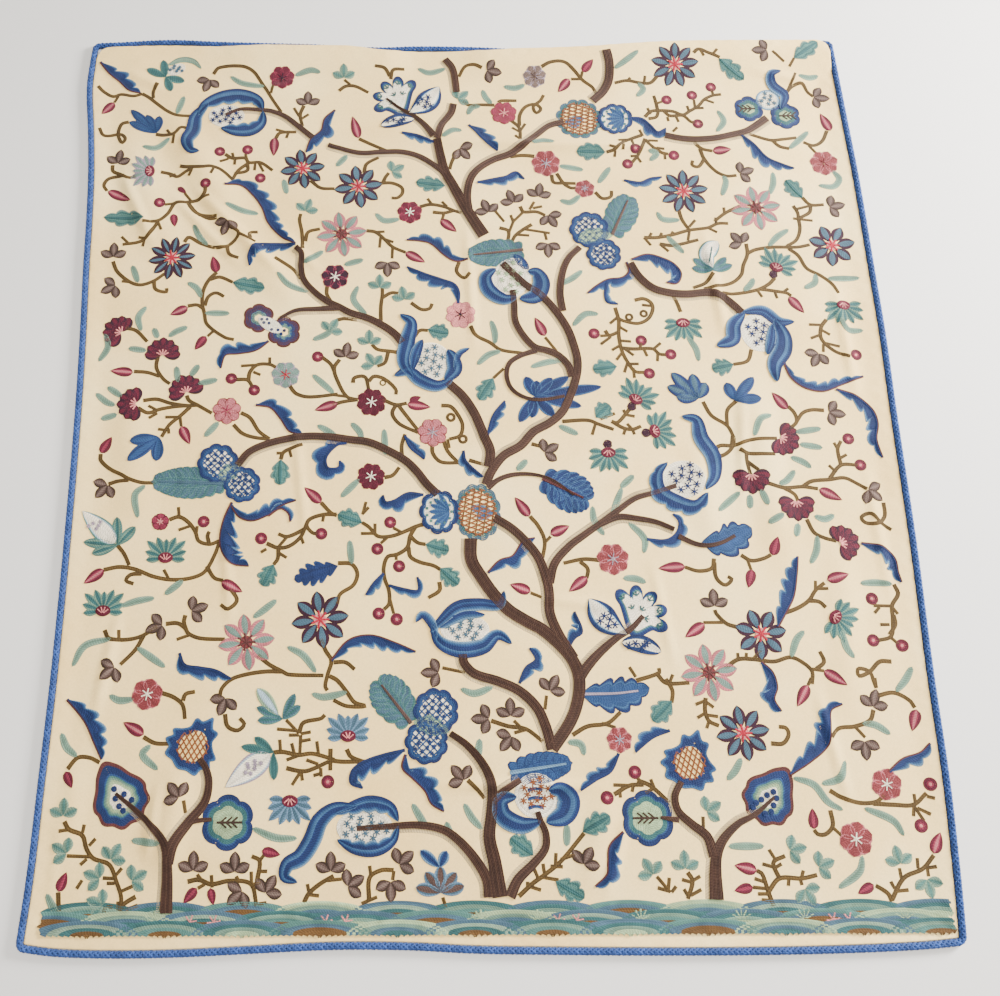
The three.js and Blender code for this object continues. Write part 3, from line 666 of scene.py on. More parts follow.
# Olive twigs: points along each
TWIGS = (
    (-740, 1605, -727, 1592, -708, 1582, -693, 1587, -667, 1583, -650, 1588),
    (-650, 1588, -637, 1580, -617, 1563, -597, 1547, -577, 1537, -543, 1535),
    (-620, 1612, -628, 1593, -627, 1577),
    (-508, 1633, -497, 1647, -450, 1648, -427, 1637, -410, 1613, -383, 1567, -368, 1543),
    (-323, 1558, -330, 1537, -325, 1510),
    (-673, 1522, -687, 1517, -692, 1493, -683, 1473, -677, 1483, -687, 1493, -720, 1490, -730, 1507),
    (-617, 1493, -600, 1490, -580, 1493, -567, 1507, -550, 1503),
    (-378, 1482, -370, 1495, -337, 1497),
    (-307, 1387, -287, 1370, -260, 1368),
    (-477, 1447, -463, 1438, -437, 1438, -430, 1428, -407, 1428, -382, 1410),
    (-430, 1427, -450, 1410, -460, 1390),
    (-433, 1427, -432, 1410, -457, 1403),
    (-565, 1420, -553, 1417, -520, 1415, -503, 1417, -483, 1410, -458, 1387),
    (-602, 1407, -583, 1403, -570, 1397, -553, 1407, -540, 1413),
    (-698, 1423, -697, 1410, -683, 1402, -663, 1392, -650, 1395),
    (-673, 1398, -703, 1393, -712, 1377, -705, 1365),
    (-512, 1372, -513, 1357, -523, 1345, -543, 1340, -570, 1337, -583, 1313, -600, 1297, -630, 1295),
    (-545, 1337, -523, 1313, -487, 1307),
    (-543, 1333, -530, 1317, -503, 1303, -487, 1303),
    (-253, 1593, -240, 1603, -220, 1603, -193, 1588),
    (-148, 1617, -143, 1637, -120, 1640),
    (-150, 1623, -160, 1640, -180, 1645),
    (37, 1640, 20, 1648, 3, 1645, -10, 1623),
    (157, 1640, 177, 1650, 203, 1650, 223, 1633, 240, 1613, 260, 1597, 267, 1580),
    (60, 1557, 33, 1558, 7, 1558, -3, 1567),
    (68, 1563, 73, 1567, 105, 1567),
    (93, 1520, 107, 1503, 108, 1473),
    (108, 1507, 110, 1533, 123, 1553, 143, 1558, 153, 1547, 143, 1538, 138, 1553, 153, 1567, 160, 1580),
    (-22, 1443, -30, 1423, -33, 1410),
    (-212, 1480, -187, 1467, -157, 1453),
    (-202, 1403, -197, 1423, -173, 1438),
    (-170, 1380, -147, 1380, -128, 1370, -127, 1357, -137, 1347, -148, 1347),
    (-165, 1380, -160, 1393, -153, 1403),
    (135, 1438, 110, 1440, 87, 1437),
    (167, 1397, 170, 1380, 190, 1378, 213, 1377),
    (177, 1400, 190, 1377, 203, 1367, 213, 1367),
    (250, 1357, 263, 1343, 280, 1347, 282, 1360),
    (102, 1327, 108, 1315, 133, 1315, 150, 1307),
    (60, 1280, 77, 1273, 75, 1250),
    (123, 1287, 107, 1277, 90, 1263, 83, 1250),
    (-93, 1327, -73, 1332, -47, 1327, -27, 1318, -13, 1313),
    (-68, 1315, -47, 1313, -27, 1318),
    (393, 1623, 377, 1607, 357, 1607, 330, 1612, 305, 1607),
    (467, 1670, 477, 1678, 497, 1670, 520, 1660),
    (360, 1527, 373, 1540, 390, 1542, 417, 1540, 437, 1532, 450, 1540, 470, 1553, 483, 1568, 500, 1577,
      518, 1580),
    (387, 1543, 385, 1560, 382, 1577),
    (400, 1540, 410, 1530, 437, 1530, 450, 1517, 458, 1513),
    (367, 1523, 383, 1527, 388, 1540),
    (350, 1485, 330, 1477, 310, 1467, 293, 1450, 277, 1445),
    (357, 1475, 370, 1457, 387, 1445, 400, 1442),
    (357, 1477, 340, 1440, 327, 1423),
    (650, 1583, 663, 1597, 683, 1603, 693, 1583, 703, 1573),
    (720, 1493, 708, 1470, 690, 1460, 670, 1467),
    (563, 1485, 603, 1470, 627, 1472, 657, 1477),
    (607, 1470, 620, 1457, 640, 1452),
    (453, 1468, 467, 1453, 487, 1447),
    (463, 1453, 470, 1430, 490, 1403, 510, 1392, 530, 1393),
    (470, 1430, 457, 1413, 445, 1417, 447, 1427),
    (653, 1343, 667, 1327, 693, 1327),
    (667, 1323, 663, 1310, 640, 1297),
    (633, 1325, 640, 1310, 640, 1297),
    (640, 1300, 640, 1273, 630, 1250, 610, 1237),
    (530, 1325, 500, 1310, 477, 1292),
    (410, 1317, 415, 1295, 427, 1273),
    (-600, 1293, -627, 1257, -667, 1248),
    (-548, 1252, -540, 1263, -517, 1250, -487, 1240, -463, 1243, -443, 1267, -460, 1283),
    (-420, 1257, -422, 1270, -407, 1273),
    (-465, 1242, -460, 1225, -442, 1217),
    (-683, 1212, -673, 1190, -647, 1168, -627, 1162, -603, 1170, -583, 1185),
    (-602, 1170, -598, 1153, -577, 1147, -577, 1155),
    (-483, 1188, -497, 1173, -507, 1150, -508, 1123, -503, 1103, -497, 1080, -463, 1053, -445, 1048),
    (-495, 1173, -477, 1178, -452, 1167),
    (-503, 1118, -497, 1137, -483, 1145, -467, 1137),
    (-535, 1118, -517, 1120, -507, 1113),
    (-320, 1237, -322, 1273, -327, 1300, -325, 1313),
    (-315, 1253, -310, 1273, -287, 1280),
    (-373, 1218, -337, 1193, -323, 1172),
    (-272, 1157, -272, 1140, -260, 1120),
    (-650, 1073, -630, 1068, -607, 1045),
    (-585, 1017, -587, 993, -573, 970, -560, 960),
    (-628, 985, -603, 983, -580, 975),
    (-528, 937, -523, 927, -507, 918, -480, 902),
    (-607, 927, -583, 930, -557, 922, -523, 917, -507, 918),
    (-615, 912, -597, 903, -577, 910, -550, 915, -523, 917),
    (-520, 915, -537, 898, -557, 880, -570, 857),
    (-427, 903, -410, 893, -393, 867, -373, 852),
    (-440, 880, -423, 863, -400, 855, -373, 852),
    (-437, 968, -417, 967, -407, 953),
    (-415, 967, -413, 983, -400, 997, -377, 998, -365, 992),
    (-340, 957, -327, 940, -303, 933, -250, 938),
    (-280, 1012, -263, 997, -255, 977),
    (-197, 1275, -180, 1272, -163, 1257, -147, 1240, -122, 1228),
    (-20, 1207, -25, 1187, -10, 1173, 0, 1183),
    (-2, 1073, 7, 1055, 33, 1040, 53, 1025, 93, 1018),
    (-170, 1085, -170, 1113, -167, 1140, -167, 1153),
    (-167, 1133, -150, 1143, -137, 1142),
    (-113, 1122, -93, 1108, -78, 1110, -73, 1120),
    (-107, 1053, -97, 1065, -82, 1065),
    (-135, 1020, -153, 1023, -177, 1027, -187, 1037),
    (-157, 1020, -163, 1000, -177, 993),
    (-247, 1007, -257, 990, -250, 963, -233, 933, -213, 927),
    (-260, 917, -240, 923, -213, 927),
    (-253, 1087, -240, 1090, -215, 1087),
    (-222, 960, -220, 970, -200, 972, -193, 947),
    (-193, 963, -183, 973, -163, 967, -143, 947, -143, 937),
    (-167, 927, -143, 917, -123, 920),
    (-143, 917, -150, 900, -137, 880, -103, 863),
    (-138, 915, -120, 890, -103, 867),
    (-60, 915, -43, 913, -30, 897, -22, 877, -27, 857, -47, 850),
    (160, 883, 207, 885, 227, 877, 253, 867),
    (338, 1257, 363, 1257, 393, 1263, 427, 1273, 463, 1278, 483, 1287, 503, 1287),
    (367, 1243, 393, 1240, 442, 1252),
    (463, 1180, 447, 1160, 423, 1150),
    (533, 1243, 533, 1220, 523, 1197, 517, 1177, 497, 1160, 463, 1152, 443, 1148),
    (533, 1222, 550, 1230, 583, 1235, 630, 1235, 655, 1240),
    (613, 1232, 630, 1217, 643, 1190, 667, 1175, 687, 1157, 697, 1137),
    (580, 1170, 567, 1157, 543, 1145, 497, 1137, 477, 1140),
    (550, 1147, 580, 1142, 600, 1138, 607, 1132),
    (310, 1125, 327, 1128, 340, 1120, 343, 1107, 333, 1087, 313, 1077, 287, 1082, 278, 1087),
    (272, 1110, 277, 1083, 275, 1053, 278, 1023, 287, 1000, 300, 980, 317, 978),
    (278, 1027, 300, 1025, 337, 1025, 347, 1015, 360, 1013),
    (250, 1063, 257, 1053, 275, 1060),
    (395, 1100, 388, 1123, 380, 1137),
    (520, 1023, 510, 1000, 483, 993),
    (667, 1083, 655, 1067, 653, 1043, 673, 1020, 700, 1007),
    (420, 920, 433, 893, 460, 873, 470, 850),
    (480, 920, 463, 903, 460, 873),
    (575, 910, 585, 897, 587, 880, 573, 867),
    (640, 902, 617, 903, 600, 897, 587, 880),
    (287, 910, 277, 897, 260, 880, 250, 883),
    (250, 883, 270, 870, 287, 867, 303, 873),
    (-678, 825, -677, 813, -660, 797, -637, 785, -623, 777, -600, 770, -577, 770),
    (-660, 768, -643, 773, -623, 774),
    (-547, 702, -530, 707, -513, 697, -500, 680, -493, 663, -473, 657, -457, 663),
    (-475, 660, -478, 673, -475, 680),
    (-637, 657, -623, 640, -613, 620),
    (-657, 612, -630, 617, -603, 613, -570, 600, -537, 594, -503, 597, -480, 608, -463, 640, -457, 660),
    (-590, 605, -610, 603, -617, 593, -603, 587),
    (-477, 618, -463, 597, -447, 592),
    (-433, 577, -422, 557, -437, 542, -450, 550),
    (-352, 813, -347, 827, -313, 842),
    (-250, 710, -273, 710, -297, 702, -303, 690, -293, 677, -283, 675),
    (-278, 732, -260, 713, -250, 708),
    (-373, 658, -353, 650, -333, 653, -313, 670, -303, 693),
    (-307, 683, -337, 670, -353, 675),
    (-352, 650, -353, 630, -360, 620),
    (-648, 507, -640, 493, -620, 490, -597, 492, -580, 498, -557, 513),
    (-580, 497, -593, 473, -617, 448),
    (-543, 517, -523, 518, -510, 510, -503, 500, -483, 492, -440, 490),
    (-510, 532, -512, 520, -507, 507),
    (-383, 463, -363, 447, -340, 435, -330, 430, -270, 428),
    (-275, 490, -267, 470, -257, 453, -263, 430, -267, 410, -263, 403),
    (-340, 435, -370, 435, -403, 430, -427, 422, -442, 407, -445, 392),
    (-133, 817, -133, 840, -127, 860),
    (-78, 840, -77, 823, -63, 807, -30, 805),
    (-57, 847, -50, 827, -33, 807),
    (-12, 810, 13, 802),
    (102, 840, 120, 835),
    (-165, 778, -150, 782, -138, 797),
    (-93, 692, -110, 687, -130, 678, -153, 670, -177, 670, -193, 687, -205, 695),
    (-110, 687, -120, 670, -125, 650, -143, 637, -160, 633, -167, 613, -165, 593, -158, 573, -158, 550,
      -167, 540),
    (-123, 650, -120, 633, -103, 623, -80, 617, -68, 610),
    (-120, 670, -107, 658, -93, 655),
    (-70, 588, -70, 573, -90, 560),
    (-247, 622, -223, 620, -213, 603, -220, 583, -243, 567, -248, 550),
    (93, 705, 107, 687, 117, 660, 112, 630),
    (212, 625, 183, 627, 148, 620),
    (177, 623, 190, 610, 187, 593),
    (-253, 450, -233, 450, -217, 438),
    (-260, 427, -247, 420, -230, 400, -217, 383, -198, 377, -230, 377, -253, 387),
    (427, 823, 443, 835, 467, 835, 500, 845, 547, 848),
    (433, 812, 453, 820, 467, 835, 470, 850),
    (477, 828, 490, 820, 517, 818, 540, 818),
    (488, 820, 488, 803, 492, 780),
    (488, 805, 507, 788),
    (520, 763, 547, 755, 583, 757, 610, 753),
    (547, 755, 567, 743, 572, 730),
    (583, 757, 600, 767, 633, 770, 660, 773, 680, 763, 697, 752),
    (633, 772, 657, 797, 687, 797),
    (657, 797, 655, 827, 663, 843),
    (723, 727, 722, 703, 710, 690, 687, 690, 680, 700, 697, 707, 713, 690, 730, 677),
    (583, 697, 593, 673, 610, 663, 630, 657),
    (412, 627, 407, 610, 383, 605, 360, 612),
    (412, 620, 413, 593, 427, 580, 440, 590, 433, 595),
    (460, 633, 477, 623, 500, 627, 512, 633),
    (720, 580, 725, 563, 712, 543, 710, 520, 703, 490, 680, 483),
    (712, 527, 713, 510, 700, 493),
    (440, 507, 423, 513, 407, 530, 405, 537),
    (523, 530, 550, 540, 570, 553, 583, 570, 600, 583),
    (570, 552, 587, 550, 597, 540),
    (413, 437, 437, 452, 463, 452, 497, 448, 527, 455, 550, 443, 560, 430, 557, 410),
    (567, 435, 582, 447, 577, 465),
    (697, 447, 677, 447, 657, 430, 637, 423, 637, 435, 657, 430, 663, 410, 665, 403),
    (260, 417, 300, 430, 300, 438),
    (297, 427, 310, 413, 350, 413),
    (-543, 400, -523, 393, -507, 380, -502, 357),
    (-507, 387, -503, 398, -487, 402),
    (-570, 328, -550, 318, -523, 317),
    (-435, 365, -430, 345, -413, 338, -402, 348, -410, 358),
    (-310, 333, -303, 350, -273, 357, -267, 363),
    (-352, 302, -337, 303, -310, 298, -287, 300, -250, 290),
    (-330, 277, -307, 272, -293, 273, -260, 287),
    (-260, 290, -240, 287, -200, 287),
    (-230, 307, -223, 295, -203, 287),
    (-257, 308, -257, 293, -257, 273),
    (-692, 277, -677, 295, -657, 295, -640, 287),
    (-690, 195, -682, 183, -660, 173, -652, 153, -640, 138, -613, 128, -600, 103, -590, 77, -593, 50),
    (-567, 80, -587, 67, -588, 52),
    (-615, 50, -615, 63, -603, 65),
    (-692, 87, -688, 60, -680, 42),
    (-485, 102, -467, 105, -447, 98, -417, 103, -383, 98, -373, 67),
    (-373, 103, -370, 133, -383, 140),
    (-297, 70, -290, 83, -273, 97, -250, 110),
    (-30, 257, -13, 240, -3, 228),
    (12, 352, 40, 343, 70, 338, 97, 318),
    (147, 328, 173, 342, 207, 347, 230, 365),
    (210, 233, 237, 247, 260, 248),
    (47, 78, 70, 97, 90, 110, 117, 130, 157, 173),
    (-193, 73, -192, 107, -173, 118, -153, 118),
    (310, 420, 320, 400, 317, 380),
    (375, 388, 372, 367, 377, 350, 393, 342),
    (477, 313, 497, 313, 508, 327, 505, 338, 493, 340),
    (250, 255, 270, 247, 300, 220),
    (320, 113, 327, 100, 317, 73),
    (453, 62, 447, 83, 440, 110, 432, 115),
    (447, 83, 467, 103, 503, 103, 528, 108),
    (467, 103, 460, 127, 480, 137),
    (643, 68, 638, 80, 620, 92),
    (643, 70, 667, 103, 700, 117, 720, 137),
    (562, 207, 563, 183, 550, 170, 537, 170, 532, 177),
    (565, 238, 583, 227, 613, 218, 640, 220, 653, 230),
    (633, 217, 667, 215, 700, 215, 723, 233),
    (655, 367, 647, 350, 620, 340, 593, 337, 578, 323),
    (665, 390, 693, 395, 717, 383, 725, 370),
)
for points in TWIGS:
    band("twigs", points, 7.2, 6.2, ("stem", "stem2"))

# Thorns and straight sprigs on the twigs: from x, y to x, y
THORNS = (
    (-705, 1568, -698, 1583), (-385, 1607, -390, 1587), (-343, 1553, -332, 1533), (-313, 1538, -328, 1527),
    (-595, 1502, -588, 1492), (-582, 1470, -580, 1490), (-378, 1503, -358, 1497), (-357, 1483, -353, 1495),
    (-487, 1430, -470, 1437), (-463, 1450, -460, 1438), (-458, 1423, -457, 1437), (-437, 1447, -433, 1433),
    (-410, 1427, -400, 1407), (-418, 1410, -417, 1425), (-585, 1397, -573, 1403), (-547, 1397, -540, 1412),
    (-503, 1400, -498, 1412), (-553, 1360, -540, 1343), (-590, 1333, -570, 1337), (-503, 1353, -523, 1345),
    (-242, 1617, -230, 1607), (217, 1615, 237, 1615), (240, 1630, 237, 1617), (120, 1513, 108, 1493),
    (93, 1503, 107, 1492), (98, 1483, 107, 1473), (53, 1317, 70, 1293), (108, 1315, 87, 1293),
    (120, 1320, 130, 1337),
    (127, 1323, 145, 1327), (83, 1308, 87, 1293), (90, 1300, 77, 1267), (107, 1277, 157, 1268),
    (147, 1270, 150, 1253),
    (93, 1265, 117, 1263), (-78, 1345, -70, 1333), (-50, 1338, -40, 1327), (-47, 1310, -52, 1293),
    (337, 1618, 330, 1610), (367, 1622, 365, 1608), (488, 1663, 480, 1677), (515, 1678, 507, 1668),
    (385, 1558, 397, 1563), (367, 1548, 372, 1533), (463, 1547, 462, 1567), (480, 1548, 463, 1547),
    (483, 1568, 502, 1560), (502, 1577, 500, 1593), (447, 1553, 450, 1540), (405, 1527, 407, 1517),
    (423, 1527, 427, 1515), (423, 1503, 413, 1493), (347, 1498, 353, 1483), (330, 1473, 333, 1457),
    (303, 1473, 327, 1475), (283, 1458, 300, 1453), (293, 1435, 295, 1448), (363, 1473, 382, 1472),
    (377, 1455, 393, 1453), (393, 1430, 393, 1443), (325, 1437, 338, 1438), (345, 1423, 338, 1435),
    (310, 1450, 312, 1463), (653, 1587, 672, 1627), (627, 1673, 650, 1650), (660, 1640, 670, 1657),
    (680, 1460, 695, 1440), (640, 1318, 667, 1325), (630, 1297, 667, 1292), (498, 1322, 498, 1310),
    (440, 1295, 427, 1280), (-670, 1265, -655, 1250), (-637, 1263, -623, 1260), (-628, 1243, -625, 1257),
    (-600, 1293, -593, 1277), (-443, 1267, -410, 1250), (-663, 1170, -647, 1168), (-483, 1067, -495, 1055),
    (-597, 917, -580, 908), (-595, 893, -580, 903), (-565, 895, -540, 895), (-577, 872, -563, 870),
    (-557, 863, -558, 873), (-538, 895, -535, 877), (-430, 995, -400, 997), (-377, 1000, -377, 1012),
    (-407, 983, -393, 977), (-180, 1272, -162, 1273), (-170, 1260, -172, 1238), (-163, 1257, -145, 1250),
    (-147, 1237, -148, 1215), (-260, 937, -233, 933), (137, 1050, 157, 1022), (37, 968, 57, 987),
    (240, 1052, 260, 1053), (240, 1035, 260, 1050), (213, 857, 220, 877), (257, 898, 230, 887),
    (338, 1257, 350, 1240),
    (353, 1267, 347, 1257), (367, 1243, 383, 1227), (373, 1267, 367, 1257), (395, 1270, 390, 1262),
    (427, 1273, 422, 1250), (463, 1278, 480, 1268), (480, 1300, 480, 1287), (543, 1147, 552, 1130),
    (577, 1140, 580, 1127), (593, 1140, 603, 1148), (323, 1115, 340, 1113), (260, 1077, 275, 1090),
    (278, 1070, 292, 1060), (277, 1042, 297, 1040), (260, 1023, 277, 1033), (282, 1027, 300, 1012),
    (267, 1003, 278, 1017), (290, 995, 308, 995), (280, 978, 287, 997), (298, 967, 297, 987),
    (320, 1023, 325, 1010),
    (352, 1037, 338, 1025), (343, 1000, 345, 1017), (315, 1037, 313, 1027), (633, 1073, 655, 1072),
    (670, 1052, 655, 1062), (633, 1045, 652, 1052), (685, 1028, 660, 1035), (653, 1017, 655, 1033),
    (273, 905, 277, 895), (293, 892, 277, 895), (270, 857, 275, 870), (290, 857, 287, 867),
    (278, 878, 287, 867),
    (-497, 690, -498, 677), (-530, 683, -510, 690), (-532, 725, -530, 708), (-552, 612, -543, 597),
    (-360, 825, -347, 825), (-337, 833, -333, 817), (-337, 670, -352, 652), (-313, 670, -308, 657),
    (-273, 708, -275, 697), (-383, 642, -373, 648), (-350, 640, -337, 632), (-623, 507, -622, 492),
    (-523, 490, -500, 498), (-47, 833, -50, 850), (-150, 685, -137, 678), (-160, 668, -172, 657),
    (-145, 640, -145, 627), (-157, 560, -150, 533), (-203, 713, -198, 733), (-205, 710, -193, 723),
    (-207, 675, -182, 675), (-182, 693, -182, 673), (128, 668, 118, 658), (88, 568, 107, 560),
    (-68, 440, -30, 432),
    (103, 370, 107, 393), (467, 853, 463, 833), (650, 840, 655, 827), (657, 810, 670, 817),
    (635, 797, 647, 783),
    (470, 627, 475, 607), (680, 543, 713, 542), (680, 530, 690, 540), (687, 510, 703, 510),
    (712, 540, 720, 528),
    (700, 490, 713, 477), (417, 515, 383, 515), (583, 570, 585, 587), (587, 573, 605, 573),
    (437, 452, 437, 463),
    (450, 452, 452, 463), (463, 453, 477, 467), (560, 435, 580, 432), (250, 440, 260, 423),
    (323, 427, 317, 415),
    (-332, 355, -310, 333), (-347, 340, -313, 337), (-307, 330, -308, 300), (-327, 330, -310, 330),
    (-307, 320, -290, 323), (-290, 335, -307, 332), (-342, 323, -340, 303), (-322, 317, -317, 300),
    (-280, 320, -277, 300), (-330, 290, -310, 297), (-297, 290, -277, 283), (-307, 270, -320, 250),
    (-303, 257, -305, 270), (-273, 277, -272, 263), (-285, 265, -273, 268), (-497, 227, -493, 207),
    (-698, 180, -683, 182), (-658, 190, -660, 177), (-638, 168, -648, 157), (-682, 142, -643, 140),
    (-660, 128, -650, 137), (-592, 123, -603, 110), (-622, 108, -602, 107), (-663, 92, -655, 105),
    (-615, 100, -602, 100), (-570, 97, -593, 87), (-563, 67, -587, 58), (-595, 50, -595, 73),
    (-407, 110, -403, 103),
    (-470, 113, -463, 105), (-468, 92, -457, 98), (-447, 112, -445, 93), (-357, 117, -372, 117),
    (-383, 117, -382, 100), (-380, 97, -367, 100), (-377, 67, -357, 70), (-370, 133, -363, 142),
    (-292, 98, -290, 87),
    (-273, 80, -290, 82), (50, 352, 60, 342), (50, 332, 73, 338), (197, 347, 220, 340),
    (210, 248, 237, 247),
    (220, 228, 220, 240), (240, 237, 243, 247), (250, 260, 257, 250), (62, 100, 62, 90), (83, 87, 67, 92),
    (73, 120, 80, 103), (88, 127, 90, 110), (110, 143, 108, 123), (120, 122, 100, 123), (112, 102, 83, 107),
    (117, 133, 140, 140), (-75, 77, -70, 62), (-192, 125, -190, 110), (-155, 103, -153, 117),
    (-205, 68, -180, 78),
    (-260, 103, -237, 105), (357, 377, 373, 383), (387, 372, 373, 383), (358, 355, 372, 363),
    (393, 357, 373, 360),
    (372, 338, 377, 350), (272, 257, 277, 243), (262, 235, 277, 243), (353, 198, 352, 180),
    (340, 107, 327, 100),
    (310, 102, 325, 98), (340, 87, 322, 78), (312, 88, 318, 77), (270, 107, 290, 83), (290, 105, 287, 87),
    (270, 90, 287, 85), (300, 92, 292, 83), (442, 125, 460, 120), (473, 125, 460, 118),
    (455, 147, 463, 133),
    (427, 103, 442, 98), (423, 90, 443, 88), (430, 80, 447, 80), (435, 71, 452, 70), (480, 92, 482, 102),
    (507, 115, 502, 103), (502, 93, 500, 103), (663, 103, 662, 118), (645, 98, 650, 87), (672, 85, 650, 83),
    (693, 133, 692, 117), (722, 120, 707, 118), (707, 105, 707, 118), (560, 183, 575, 168),
    (700, 213, 713, 190),
    (735, 225, 723, 228), (703, 232, 703, 218), (725, 200, 705, 210), (697, 197, 700, 213),
    (620, 340, 635, 322),
    (665, 403, 665, 420), (557, 420, 550, 408),
)
for points in THORNS:
    band("twigs", points, 5.4, 5.0, ("stem", "stem2"))
for x, y, radius in ((-167, 960, 7), (-43, 892, 9), (325, 1097, 8), (297, 1090, 8), (-22, 850, 9)):
    disc("twigs", x, y, radius, ("stem",), inner=0.45)


# Large blooms
def fingers(x, y, wide, bands, *tips):
    """Leaves or petals that spread from one foot to the given tips."""
    for tip in np.reshape(tips, (-1, 2)):
        leaf("blooms", (x, y, *tip), wide, petal, bands, lift=0.3)


def speckle(x, y, across, high, count, dye, size=6.5, turn=0.0, lift=1.2):
    """Small six-armed stars spread evenly over an oval, in the order of seeds on a flower head."""
    k = np.arange(count)
    r, a = np.sqrt((k + 0.5) / count), k * 2.39996
    u, v = across * r * np.cos(a), high * r * np.sin(a)
    c, s = np.cos(np.radians(turn)), np.sin(np.radians(turn))
    for px, py in zip(x + u * c - v * s, y + u * s + v * c):
        spokes("hearts", px, py, 0, size, 6, dye, 30 * (px % 3), half=1.15, lift=lift)


def lattice(x, y, across, high, gap, dye, turns=(35, -35)):
    """Two sets of laid threads crossing an oval, each thread a chord of it."""
    for turn in turns:
        c, s = np.cos(np.radians(turn)), np.sin(np.radians(turn))
        reach = np.hypot(across * s, high * c)
        for far in np.arange(-reach + gap / 2, reach, gap):
            half = np.sqrt(max(1 - (far / reach) ** 2, 0)) * across * high / reach
            u = far * (high**2 - across**2) * s * c / reach**2
            ends = np.array((-half, half)) + u
            path = line((x + ends[0] * c - far * s, y + ends[0] * s + far * c, x + ends[1] * c - far * s,
                y + ends[1] * s + far * c))
            lay("hearts", path, 1.3, dye, 1.0, 1.0)


def feather(x0, y0, x1, y1, wide, bands, rib):
    """A plume: barbs leave the rib on both sides, leaning to the tip, longest in the middle."""
    path = line((x0, y0, x1, y1), 1.0)
    lean = np.degrees(np.arctan2(y1 - y0, x1 - x0))
    count = round(np.hypot(x1 - x0, y1 - y0) / 12)
    for k in range(count):
        t = (k + 0.3) / count
        spot = path[int(t * (len(path) - 1))]
        far = wide / 2 * (0.55 + 0.7 * np.sin(np.pi * t**0.8))
        for side in (-1, 1):
            leaf("blooms", ray(*spot, lean + side * (58 - 22 * t), 1, far), 22, petal, bands)
    leaf("blooms", (x0, y0, x1 + 0.12 * (x1 - x0), y1 + 0.12 * (y1 - y0)), 22, petal, bands)
    band("blooms", (x0, y0, x1, y1), 6, 3, (rib,), 1.3)


def dots(radius, dye, *places):
    for x, y in np.reshape(places, (-1, 2)):
        disc("hearts", x, y, radius, (dye,), lift=1.3)


def crescent(points, wide, lobes=0):
    """A curled blue petal: navy at one side through blue to pale at the other."""
    profile = lobed(lobes, 0.35) if lobes else blade
    leaf("blooms", points, wide, profile, ("pale", "mid", "blue", "navy"), 1.0, 0.0, 1.3)
    leaf("blooms", points, wide, blade, ("navy", "navy", "blue", "mid"), 0.0, 0.7, 1.3)


def tulip(x, y, flip):
    """A white bloom in navy rims: a fan of five even fingers, a pointed leaf at its side and a lip below."""
    def put(*points):
        return tuple((np.reshape(points, (-1, 2)) * (flip, 1) + (x, y)).ravel())

    swing = np.linspace(0, np.pi, 41)
    turn = swing + np.radians(40)
    reach = 36 + 20 * np.abs(np.sin(5 * swing)) ** 0.8
    fan = np.column_stack((reach * np.cos(turn), reach * np.sin(turn)))
    patch("blooms", put(*fan.ravel(), 8, -36), ("navy", "navy", "blue", "teal2", "white"))
    side_bands = ("navy", "navy", "blue", "ice", "white")
    leaf("blooms", put(18, -30, 52, -6, 80, 32), 46, pointed, side_bands, lift=1.2)
    leaf("blooms", put(28, -44, -4, -46, -38, -60), 30, blade, ("navy", "navy", "blue", "white"), lift=1.2)
    for far, count in ((14, 3), (36, 5)):
        for k in range(count):
            angle = 40 + 180 * (k + 0.5) / count
            for side in (-40, 0, 40):
                stroke = ray(*toward(0, 0, angle, far), angle + side, 1, 9)
                lay("blooms", line(put(*stroke), 3.0), 1.3, "teal", 0.9, 1.3)
    speckle(*put(50, -4), 15, 18, 6, "navy", 7, lift=2.4)
    speckle(*put(-4, -48), 22, 6, 5, "navy", 7, lift=2.4)


def ball(x, y, radius):
    """A scalloped navy ball, open inside with white and blue netting."""
    disc("blooms", x, y, radius - 6, ("ice", "white"))
    disc("blooms", x, y, radius, ("navy", "navy", "blue"), 9, 0.14, inner=0.72, lift=1.2)
    lattice(x, y, radius - 9, radius - 9, 8.5, "blue", (45, -45))
    speckle(x, y, radius - 12, radius - 12, 16, "navy", 4)


def pomegranate(x, y, across, high):
    """A grey-blue scalloped husk round a cream field laid with brown lattice."""
    disc("blooms", x, y, across, ("grey", "grey", "teal"), 12, 0.12, squash=high / across, inner=0.74)
    lattice(x, y, across * 0.8, high * 0.8, 8, "lattice", (20, -20))
    lattice(x, y, across * 0.8, high * 0.8, 13, "hill", (80,))


def shield(x, y, across, high, facing):
    """A navy scalloped shield, white inside with aqua dots about a blue fan."""
    disc("blooms", x, y, across - 5, ("pale", "ice", "white"), squash=high / across)
    disc("blooms", x, y, across, ("navy", "navy", "blue"), 9, 0.12, squash=high / across, inner=0.76,
        lift=1.2)
    for k in range(7):
        foot = toward(x, y, facing, -0.55 * across)
        leaf("blooms", ray(*foot, facing - 60 + 20 * k, 2, 1.05 * across), 9, petal, ("mid", "blue"),
            lift=1.2)
    for k in range(11):
        dots(2.6, "teal2", *ray(x, y, 360 * k / 11, 0.62 * across, 0.62 * across)[:2])


def round_leaf(x, y, radius, facing):
    """A scalloped round leaf: navy rim, teal band, mint middle and brown veins."""
    bands = ("navy", "navy", "navy", "blue", "teal", "teal", "teal", "mint")
    disc("blooms", x, y, radius, bands, 6, 0.16)
    foot = toward(x, y, facing, -0.4 * radius)
    band("blooms", ray(*foot, facing, 0, 0.95 * radius), 3, 3, ("bark",), 0.9)
    for k in range(3):
        for side in (-40, 40):
            vein = toward(*foot, facing, 6 + 9 * k)
            band("blooms", ray(*vein, facing + side, 0, 13), 2.4, 2.4, ("bark",), 0.9)


